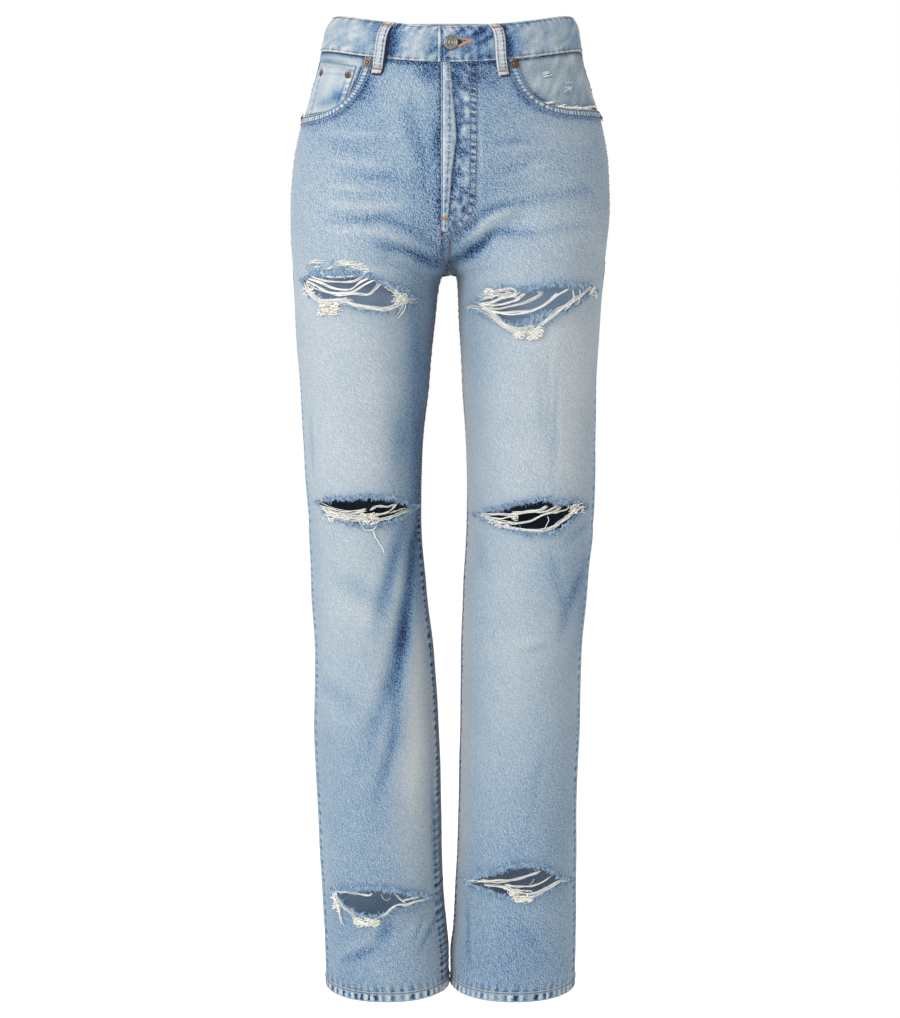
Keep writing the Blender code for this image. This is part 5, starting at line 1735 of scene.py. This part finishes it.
def buttonhole():
    """A slit bound in orange thread that runs to a point, with its eye beside the button as near-black
    thread: painted shade.
    """
    def place_at(heights, arcs, lifts):
        return SURFACES["left"].off(heights, arcs, 1.3 + lifts)

    end = float(surface_end("left", BUTTON_HEIGHT))
    tip = (OUTSEAM + 22.3, end - 31.5)
    upper, lower = (OUTSEAM + 25.0, end - 15.0), (OUTSEAM + 16.0, end - 16.5)
    binding = [satin(place_at, upper, tip, 1.7, 0.26, 0.4), satin(place_at, lower, tip, 2.6, 0.26, 0.4)]
    # The eye is near-black thread in place of the shade in the hole: painted shade.
    hole = [satin(place_at, (OUTSEAM + 20.5, end - 14.5), (OUTSEAM + 21, end - 20.0), 3.6, 0.4, 0.5)]
    return binding, hole


# ---------------------------------------------------------------- torn threads
def leg_points(leg, x, height, out):
    """Points off the front of a leg given by x and height."""
    surface = SURFACES[leg]
    shape = np.shape(x)
    x, height, out = (np.broadcast_to(np.asarray(v, float), shape).ravel() for v in (x, height, out))
    step = np.round(height / 2.0) * 2.0
    arcs = np.zeros(len(x))
    for level in np.unique(step):
        here = step == level
        line = np.linspace(2, float(surface.length(1, level)), 300)
        xs = surface.flat(np.full(300, level), line)[0]
        order = np.argsort(xs)
        arcs[here] = np.interp(x[here], xs[order], line[order])
    return skin(leg, height, arcs, out).reshape(shape + (3,))


def chance(seed):
    """A source of repeatable random numbers, called with their lowest and highest value and their count."""
    return np.random.default_rng(seed).uniform


def through(points, steps):
    """A smooth curve through a few (x, height) points, at even steps."""
    points = np.array(points, float)
    padded = np.concatenate([[2 * points[0] - points[1]], points, [2 * points[-1] - points[-2]]])
    run = run_along(points)
    place = np.interp(np.linspace(0, run[-1], steps), run, np.arange(len(points)))
    i = np.clip(place.astype(int), 0, len(points) - 2)
    t = (place - i)[:, None]
    p0, p1, p2, p3 = padded[i], padded[i + 1], padded[i + 2], padded[i + 3]
    bent, turned = 2 * p0 - 5 * p1 + 4 * p2 - p3, 3 * p1 - p0 - 3 * p2 + p3
    return 0.5 * (2 * p1 + (p2 - p0) * t + bent * t**2 + turned * t**3)


def fringe(name, seed):
    """Short blue warp ends along both torn edges of a rip, as a soft band a few millimetres wide."""
    rows = np.array(RIPS[name], float)
    between = chance(seed)
    leg, batches = rip_leg(name), []
    t = np.linspace(0, 1, 4)
    for upper in (True, False):
        for density, reach in ((5.2, 5.0), (1.4, 7.5)):
            count = int((rows[-1, 0] - rows[0, 0] + 8) * density)
            x = between(rows[0, 0] - 4, rows[-1, 0] + 4, count)
            up, low = rip_edges(name, np.clip(x, rows[0, 0], rows[-1, 0]))
            root = up if upper else low
            way = -1.0 if upper else 1.0
            gap = np.clip((up - low) / 8.0, 0.45, 1.0)
            inward = np.where(between(0, 1, count) < (0.75 if upper else 0.55), 1.0, -1.0)
            length = between(0.35, 1.0, count) * reach * gap * np.where(inward > 0, 1.0, 0.8)
            start = root - way * between(-0.6, 2.6, count) * inward
            lean, curl = between(-1.1, 1.1, count), between(-1.6, 1.6, count)
            bent = lean[:, None] * t + curl[:, None] * 0.45 * np.sin(t * 2.8)
            xs = x[:, None] + bent * length[:, None] * 0.6
            hs = start[:, None] + (way * inward * length)[:, None] * (t - 0.15 * t * t)
            lift = between(0.3, 2.2, count)[:, None] * np.sin(t * between(1.4, 3.0, count)[:, None])
            paths = leg_points(leg, xs, hs, 0.25 + lift)
            radii = between(0.28, 0.46, count)[:, None] * np.array([0.9, 1, 0.9, 0.4])
            batches.append((paths, radii, 3, between(0.0, 1.0, count)))
    return batches


# Weft threads left across each rip: fibres, width of the bundle, how far it stands out, and the points
# (x, height) that it runs through.
WEFTS = {
    "thigh_right": (
        (5, 0.9, 1.6,
         ((-150, 798), (-140, 795), (-128, 792), (-114, 791), (-100, 792), (-92, 797), (-86, 804))),
        (4, 0.7, 1.6, ((-138, 802), (-128, 797), (-112, 797), (-100, 798), (-90, 803))),
        (5, 0.9, 1.8,
         ((-152, 795), (-138, 791), (-124, 785), (-113, 783), (-103, 784), (-94, 791), (-84, 796))),
        (6, 1.0, 2.0,
         ((-154, 792), (-141, 786), (-129, 780), (-114, 779), (-103, 780), (-91, 787), (-79, 793))),
        (5, 0.8, 2.0, ((-126, 780), (-114, 777), (-100, 779), (-86, 778), (-80, 783), (-74, 790))),
        (3, 0.6, 1.6, ((-150, 788), (-138, 783), (-126, 780), (-116, 778))),
        (11, 2.4, 2.4, ((-155, 790), (-150, 782), (-141, 774), (-130, 771), (-116, 772), (-104, 770))),
        (8, 1.8, 2.6, ((-152, 784), (-143, 776), (-131, 769), (-116, 770), (-108, 773))),
        (6, 0.9, 2.2, ((-118, 773), (-104, 769), (-91, 766), (-73, 764), (-62, 766), (-54, 773), (-49, 780))),
        (6, 1.0, 2.4, ((-112, 771), (-98, 766), (-82, 763), (-68, 762), (-56, 766), (-46, 770))),
        (6, 1.8, 2.2, ((-60, 784), (-55, 776), (-52, 770), (-54, 760), (-58, 753))),
        (6, 2.6, 1.8, ((-52, 773), (-44, 772), (-36, 771))),
        (4, 1.5, 1.4, ((-68, 788), (-62, 783), (-56, 776))),
    ),
    "thigh_left": (
        (6, 1.6, 1.8, ((32, 775), (42, 778), (52, 781), (62, 782))),
        (5, 1.3, 2.0, ((33, 771), (44, 775), (56, 778), (66, 777), (73, 773))),
        (5, 1.5, 2.2, ((37, 778), (47, 782), (57, 784), (64, 782), (58, 777), (50, 776))),
        (4, 1.2, 2.4, ((54, 781), (63, 785), (71, 782), (68, 777), (60, 776))),
        (5, 1.0, 1.8, ((31, 768), (44, 770), (56, 775), (66, 777), (74, 782))),
        (5, 1.0, 2.0, ((32, 767), (46, 766), (62, 769), (71, 772), (80, 779))),
        (5, 0.9, 2.2, ((33, 765), (50, 763), (66, 766), (78, 769), (88, 774), (96, 779), (93, 781))),
        (6, 0.9, 2.4, ((35, 764), (54, 759), (70, 760), (86, 761), (99, 767), (112, 777), (124, 784))),
        (5, 0.9, 2.2, ((38, 763), (58, 757), (78, 758), (90, 762), (102, 769), (114, 779))),
        (14, 2.2, 2.8, ((33, 765), (43, 760), (51, 753), (60, 745), (71, 741), (82, 742), (90, 742))),
        (10, 1.8, 3.2, ((46, 757), (55, 749), (66, 742), (76, 739), (88, 741))),
        (5, 0.7, 2.4, ((94, 745), (104, 754), (114, 763), (123, 768), (132, 774), (143, 781), (149, 786))),
        (4, 0.7, 2.8, ((92, 743), (106, 753), (116, 762), (126, 770), (138, 776), (148, 784))),
        (3, 0.6, 2.4, ((120, 761), (129, 771), (131, 783))),
        (3, 0.6, 2.2, ((132, 767), (137, 776), (138, 783))),
        (6, 1.4, 2.6, ((148, 786), (154, 781), (158, 774))),
        (4, 1.6, 2.0, ((19, 764), (26, 765), (32, 763))),
    ),
    "knee_right": (
        (9, 2.0, 1.8, ((-141, 550), (-128, 547), (-112, 544), (-98, 546), (-91, 547))),
        (9, 2.2, 1.8, ((-138, 546), (-126, 541), (-112, 537), (-98, 536), (-84, 537), (-78, 536))),
        (7, 1.4, 2.0, ((-134, 544), (-118, 542), (-104, 540), (-92, 541), (-82, 541))),
        (5, 1.0, 2.0, ((-86, 547), (-79, 551), (-69, 550), (-61, 552))),
        (6, 1.2, 2.0, ((-82, 542), (-72, 543), (-64, 547), (-60, 552))),
        (4, 0.8, 1.6, ((-66, 543), (-56, 546), (-48, 547))),
        (7, 1.2, 1.8, ((-80, 536), (-68, 538), (-54, 542), (-42, 545))),
        (3, 0.6, 2.6, ((-99, 541), (-97, 532), (-90, 525), (-82, 527), (-80, 536))),
        (2, 0.5, 2.8, ((-84, 526), (-82, 519), (-78, 511), (-74, 504), (-73, 500))),
    ),
    "knee_left": (
        (5, 0.8, 1.4, ((30, 539), (47, 541), (68, 542), (86, 545), (97, 547), (104, 551))),
        (4, 0.8, 1.6, ((40, 538), (55, 537), (69, 540))),
        (8, 1.4, 1.8,
         ((36, 538), (52, 534), (69, 532), (83, 534), (91, 537), (101, 542), (113, 545), (119, 550))),
        (4, 0.8, 1.8, ((68, 543), (80, 545), (90, 546), (95, 544), (104, 545), (110, 548), (116, 551))),
        (5, 0.9, 1.8, ((91, 537), (104, 543), (116, 544), (126, 547), (129, 551))),
        (8, 1.6, 1.8, ((52, 532), (63, 528), (79, 526), (98, 525), (110, 528), (117, 532))),
        (6, 1.4, 1.8, ((112, 528), (124, 536), (133, 543), (142, 547))),
        (1, 0.2, 3.4, ((98, 524), (104, 530), (106, 537), (105, 540))),
        (5, 1.4, 1.8, ((116, 531), (126, 538), (131, 545), (131, 551))),
        (4, 1.6, 1.8, ((132, 549), (141, 548), (144, 545))),
    ),
    "shin_right": (
        (5, 0.8, 1.4, ((-128, 117), (-120, 117), (-109, 119), (-97, 118), (-89, 117), (-86, 120))),
        (9, 1.8, 2.0, ((-129, 116), (-127, 110), (-125, 103), (-122, 96))),
        (5, 1.4, 2.6, ((-128, 112), (-125, 104), (-122, 94), (-121, 86))),
        (2, 0.5, 2.8, ((-124, 98), (-121, 88), (-119, 79))),
        (6, 1.2, 2.0, ((-124, 107), (-118, 101), (-110, 97), (-105, 92), (-101, 88))),
        (9, 2.0, 3.0, ((-103, 88), (-96, 86), (-88, 87), (-78, 90))),
        (6, 0.9, 2.0,
         ((-77, 94), (-70, 98), (-65, 104), (-58, 107), (-50, 106), (-39, 108), (-28, 107), (-20, 106))),
        (3, 0.6, 1.6, ((-60, 118), (-56, 113), (-51, 108))),
        (4, 0.7, 1.6, ((-53, 111), (-45, 112), (-36, 112))),
        (1, 0.2, 1.6, ((-77, 119), (-72, 112), (-67, 115))),
    ),
    "shin_left": (
        (4, 0.9, 1.0, ((18, 125), (27, 128), (41, 131))),
        (6, 1.0, 1.8, ((36, 131), (54, 134), (70, 136), (83, 140), (99, 144))),
        (4, 0.8, 1.6, ((38, 130), (57, 132), (74, 136), (96, 142))),
        (7, 1.2, 2.0,
         ((40, 127), (59, 127), (70, 124), (83, 120), (96, 121), (112, 127), (122, 130), (133, 127))),
        (7, 1.4, 2.4, ((59, 128), (67, 124), (72, 117), (75, 114))),
        (5, 0.9, 2.0, ((62, 130), (78, 128), (93, 129), (102, 132), (111, 137))),
        (4, 0.8, 2.0, ((75, 124), (90, 122))),
        (5, 0.9, 2.2, ((86, 115), (99, 120), (118, 128), (132, 127))),
        (1, 0.2, 2.0, ((88, 130), (94, 136))),
    ),
}


def strands(name, seed):
    """The cream threads across a rip, each a bundle of fibres that part and come together."""
    between = chance(seed)
    leg, batches = rip_leg(name), []
    for fibres, width, out, points in WEFTS[name]:
        line = through(points, 26)
        t = np.linspace(0, 1, 26)
        away = np.gradient(line, axis=0)
        away = np.stack([-away[:, 1], away[:, 0]], axis=1) / np.hypot(*away.T)[:, None]
        for _ in range(fibres):
            offset = between(-1.5, 1.5) * width * (0.7 + 0.3 * np.sin(t * between(2, 6) + between(0, 6)))
            offset += 0.34 * np.sin(t * between(8, 22) + between(0, 6))
            slide = between(-1.5, 1.5, 2)
            ends = np.stack([slide[0] * (1 - t) + slide[1] * t, 0 * t], axis=1)
            path = line + away * offset[:, None] + ends
            outs = 0.3 + out * np.sin(math.pi * (0.1 + 0.85 * t)) * between(0.3, 1.2)
            outs += 0.35 * np.sin(t * between(6, 16))
            radii = between(0.25, 0.38) * (1 + 0.15 * np.sin(t * 37 + between(0, 6)))
            radii[[0, -1]] *= 0.5
            points = leg_points(leg, path[:, 0], path[:, 1], outs)
            batches.append((points[None], radii[None], 4, between(0.0, 1.0, 1)))
    return batches


# Tangles where torn wefts have balled up: x, height, half width, half height, number of loops.
TANGLES = {
    "thigh_right": (
        (-126, 763, 9, 6, 60), (-132, 759, 5, 3, 14), (-55, 774, 6, 7, 34), (-148, 783, 4, 6, 16),
    ),
    "thigh_left": ((74, 737, 5, 4, 34), (90, 738, 7, 6, 60), (152, 782, 5, 4, 12), (52, 779, 12, 4, 10)),
    "knee_right": ((-88, 538, 9, 6, 30), (-118, 540, 14, 4, 20)),
    "knee_left": ((70, 540, 3, 2, 8), (136, 547, 7, 4, 18), (60, 531, 12, 3, 12)),
    "shin_right": ((-92, 88, 13, 4, 60), (-98, 86, 6, 3, 26), (-126, 104, 3, 9, 16)),
    "shin_left": ((79, 115, 8, 3, 44), (73, 122, 6, 4, 16)),
}


def tangles(name, seed):
    """Small loops of thread, balled up where a rip's wefts have torn."""
    between = chance(seed)
    leg, batches = rip_leg(name), []
    t = np.linspace(0, 1, 14)
    for x, h, rx, rh, count in TANGLES[name]:
        for _ in range(count):
            cx, ch = x + rx * between(-0.9, 0.9), h + rh * between(-0.9, 0.9)
            size, turn = between(1.0, 3.4), between(0, 6.28)
            sweep = between(1.5, 6.0)
            xs = cx + size * 1.4 * np.cos(turn + sweep * t) * (1 - 0.4 * t) + between(-3, 3) * t
            hs = ch + size * 0.7 * np.sin(turn + sweep * t) * (1 - 0.3 * t) + between(-2.0, 1.2) * t
            outs = 1.0 + between(0.2, 3.0) + 0.8 * np.sin(t * between(2, 7) + turn)
            xs += 0.45 * size * np.sin(2.7 * sweep * t + 5 * turn)
            hs += 0.35 * size * np.cos(3.3 * sweep * t + 3 * turn)
            path = leg_points(leg, xs, hs, outs)[None]
            batches.append((path, between(0.26, 0.40), 4, between(0.1, 1.0, 1)))
    return batches


# Patches where the blue warp is worn off and the wefts lie bare, and where torn warp ends stand up:
# leg, x, height, half width, half height, threads.
BARE_PATCHES = (
    ("right", -112, 811, 9, 2.6, 26), ("right", -98, 807, 9, 3.4, 26), ("right", -142, 812, 6, 2.0, 12),
    ("right", -146, 806, 6, 2.0, 8), ("right", -90, 804, 5, 3.0, 12), ("right", -128, 806, 5, 2.0, 8),
    ("left", 125.6, 1003, 1.5, 5, 12), ("left", 101.5, 1019.8, 2, 2.6, 9), ("left", 102, 987.0, 6, 1.2, 11),
    ("left", 115, 982.5, 7, 1.2, 13), ("left", 129, 980.0, 8, 1.2, 16), ("left", 143, 979.0, 8, 1.2, 16),
    ("left", 154, 980.5, 5, 1.2, 9),
)
TUFTS = (
    ("right", -146, 805, 9, 4.5, 60), ("right", -132, 803, 9, 4.0, 50), ("right", -122, 809, 6, 4.0, 36),
    ("right", -111, 804, 10, 3.0, 50), ("right", -92, 800, 9, 4.0, 50), ("left", 126, 1003, 5, 6, 44),
    ("left", 104, 1020, 3, 2, 8), ("left", 82, 748, 6, 3.5, 44), ("left", 92, 753, 7, 3.5, 50),
    ("left", 102, 758, 6, 3.0, 36),
)


def scraps(patches, seed, upright):
    """Short bare threads over a few patches, lying across or standing up and down."""
    between, batches = chance(seed), []
    t = np.linspace(0, 1, 6)
    for leg, x, h, rx, rh, count in patches:
        cx, ch = x + rx * between(-0.9, 0.9, count)[:, None], h + rh * between(-1, 1, count)[:, None]
        length, bend = between(3, 11, count)[:, None], between(-0.7, 0.7, count)[:, None]
        across = length * (t - 0.5) * (0.2 if upright else 1.0)
        rise = length * (t - 0.5) * (0.5 if upright else 0.10) + bend * np.sin(t * 5)
        outs = 0.2 + (2.0 if h < 900 else 0.3) * 0.4 * np.sin(math.pi * t) * between(0.3, 1.4, count)[:, None]
        paths = leg_points(leg, cx + across + bend * np.sin(t * 3), ch + rise, outs)
        batches.append((paths, between(0.24, 0.38, count)[:, None], 3, between(0.0, 1.0, count)))
    return batches


# ---------------------------------------------------------------- everything in place
for leg in LEGS:
    for make in (front_panel, back_panel, yoke_panel, hem_ring, facing, back_pocket):
        make(leg)
coin_pocket()
fly_edge()
waistband()
for loop in BELT_LOOPS:
    belt_loop(*loop)
settle(button(), "button_metal", "waist_button")
for row in RIVETS:
    settle(rivet(*row), "rivet_copper", row[0])

tan, smoke = seam_stitches()
tubes("stitches_seams", tan, TAN, "denim_pale")
tubes("stitches_fly", fly_stitches(), TAN, "denim_pale")
tubes("stitches_waistband", band_stitches(), TAN, "denim_pale")
tubes("stitches_pockets", smoke, SMOKE, "denim_pale")
tacks, rows, loop_shadows = bar_tacks()
tubes("bar_tacks", tacks, ORANGE, "denim_pale")
tubes("stitches_loops", rows, TAN, "denim_pale")
tubes("loop_painted_shadows", loop_shadows, SHADOW_THREAD, "denim")
binding, hole = buttonhole()
tubes("buttonhole", binding, BUTTONHOLE_THREAD, "denim_pale")
tubes("buttonhole_eye_shade", hole, SHADOW_THREAD, "denim")
tubes("stitch_furrow_shade", FURROWS, STITCH_SHADE, "denim")
tubes("worn_threads", scraps(BARE_PATCHES, 77, False), CREAM_LIGHTENED, "denim_pale")
tubes("worn_tufts", scraps(TUFTS, 78, True), BLUE_YARN, "denim_pale")
for i, name in enumerate(RIPS):
    tubes(f"fringe_{name}", fringe(name, 11 + i), BLUE_YARN, "denim_pale")
    tubes(f"weft_{name}", strands(name, 31 + i), CREAM, "denim_pale")
    tubes(f"tangles_{name}", tangles(name, 51 + i), CREAM_LIGHTENED, "denim_pale")


# ---------------------------------------------------------------- camera, light, floor
scene = bpy.context.scene
camera = bpy.data.objects.new("camera", bpy.data.cameras.new("camera"))
camera.location = (0.0, -2.3, -0.265)
camera.rotation_euler = (math.radians(84.1565), 0.0, 0.0)
camera.data.lens, camera.data.sensor_width = 73.2, 36.0
scene.collection.objects.link(camera)
scene.camera = camera


def area_light(name, place, target, size, watts):
    """A rectangular lamp that shines towards a point."""
    data = bpy.data.lights.new(name, "AREA")
    data.shape, data.size, data.size_y = "RECTANGLE", size[0], size[1]
    data.energy = watts
    lamp = bpy.data.objects.new(name, data)
    lamp.location = place
    way = np.array(target) - np.array(place)
    lamp.rotation_mode = "QUATERNION"
    lamp.rotation_quaternion = Vector(way).to_track_quat("-Z", "Y")
    scene.collection.objects.link(lamp)
    return lamp


area_light("key", (-2.2, -2.7, 1.3), (0, 0, -0.45), (1.6, 1.6), 140.0)
area_light("fill", (2.2, -3.0, 0.2), (0, 0, -0.5), (2.0, 2.4), 8.0)

# Small lamps behind the thigh and shin rips light only the inside of the back of the leg.
for x, z, watts in ((-0.1, -0.27, 0.48), (0.09, -0.275, 0.48), (-0.075, -0.95, 0.34), (0.075, -0.93, 0.22)):
    lamp = area_light("inside_lamp", (x, -0.055, z), (x, 0.1, z), (0.06, 0.03), watts)
    lamp.visible_camera = False

world = bpy.data.worlds.new("studio")
world.use_nodes = True
world.node_tree.nodes["Background"].inputs["Color"].default_value = (1.0, 1.0, 1.0, 1.0)
world.node_tree.nodes["Background"].inputs["Strength"].default_value = 1.0
scene.world = world
scene.view_settings.view_transform = "Standard"

floor_shader = Shader("pale_floor")
floor_material = floor_shader.finish(colour=srgb(255, 255, 254), roughness=0.9, specular=0.1)
floor = add_mesh(
    "floor", [(-9000, -9000, -1340), (9000, -9000, -1340), (9000, 9000, -1340), (-9000, 9000, -1340)],
    np.array([[0, 1, 2, 3]]), (floor_material,),
)
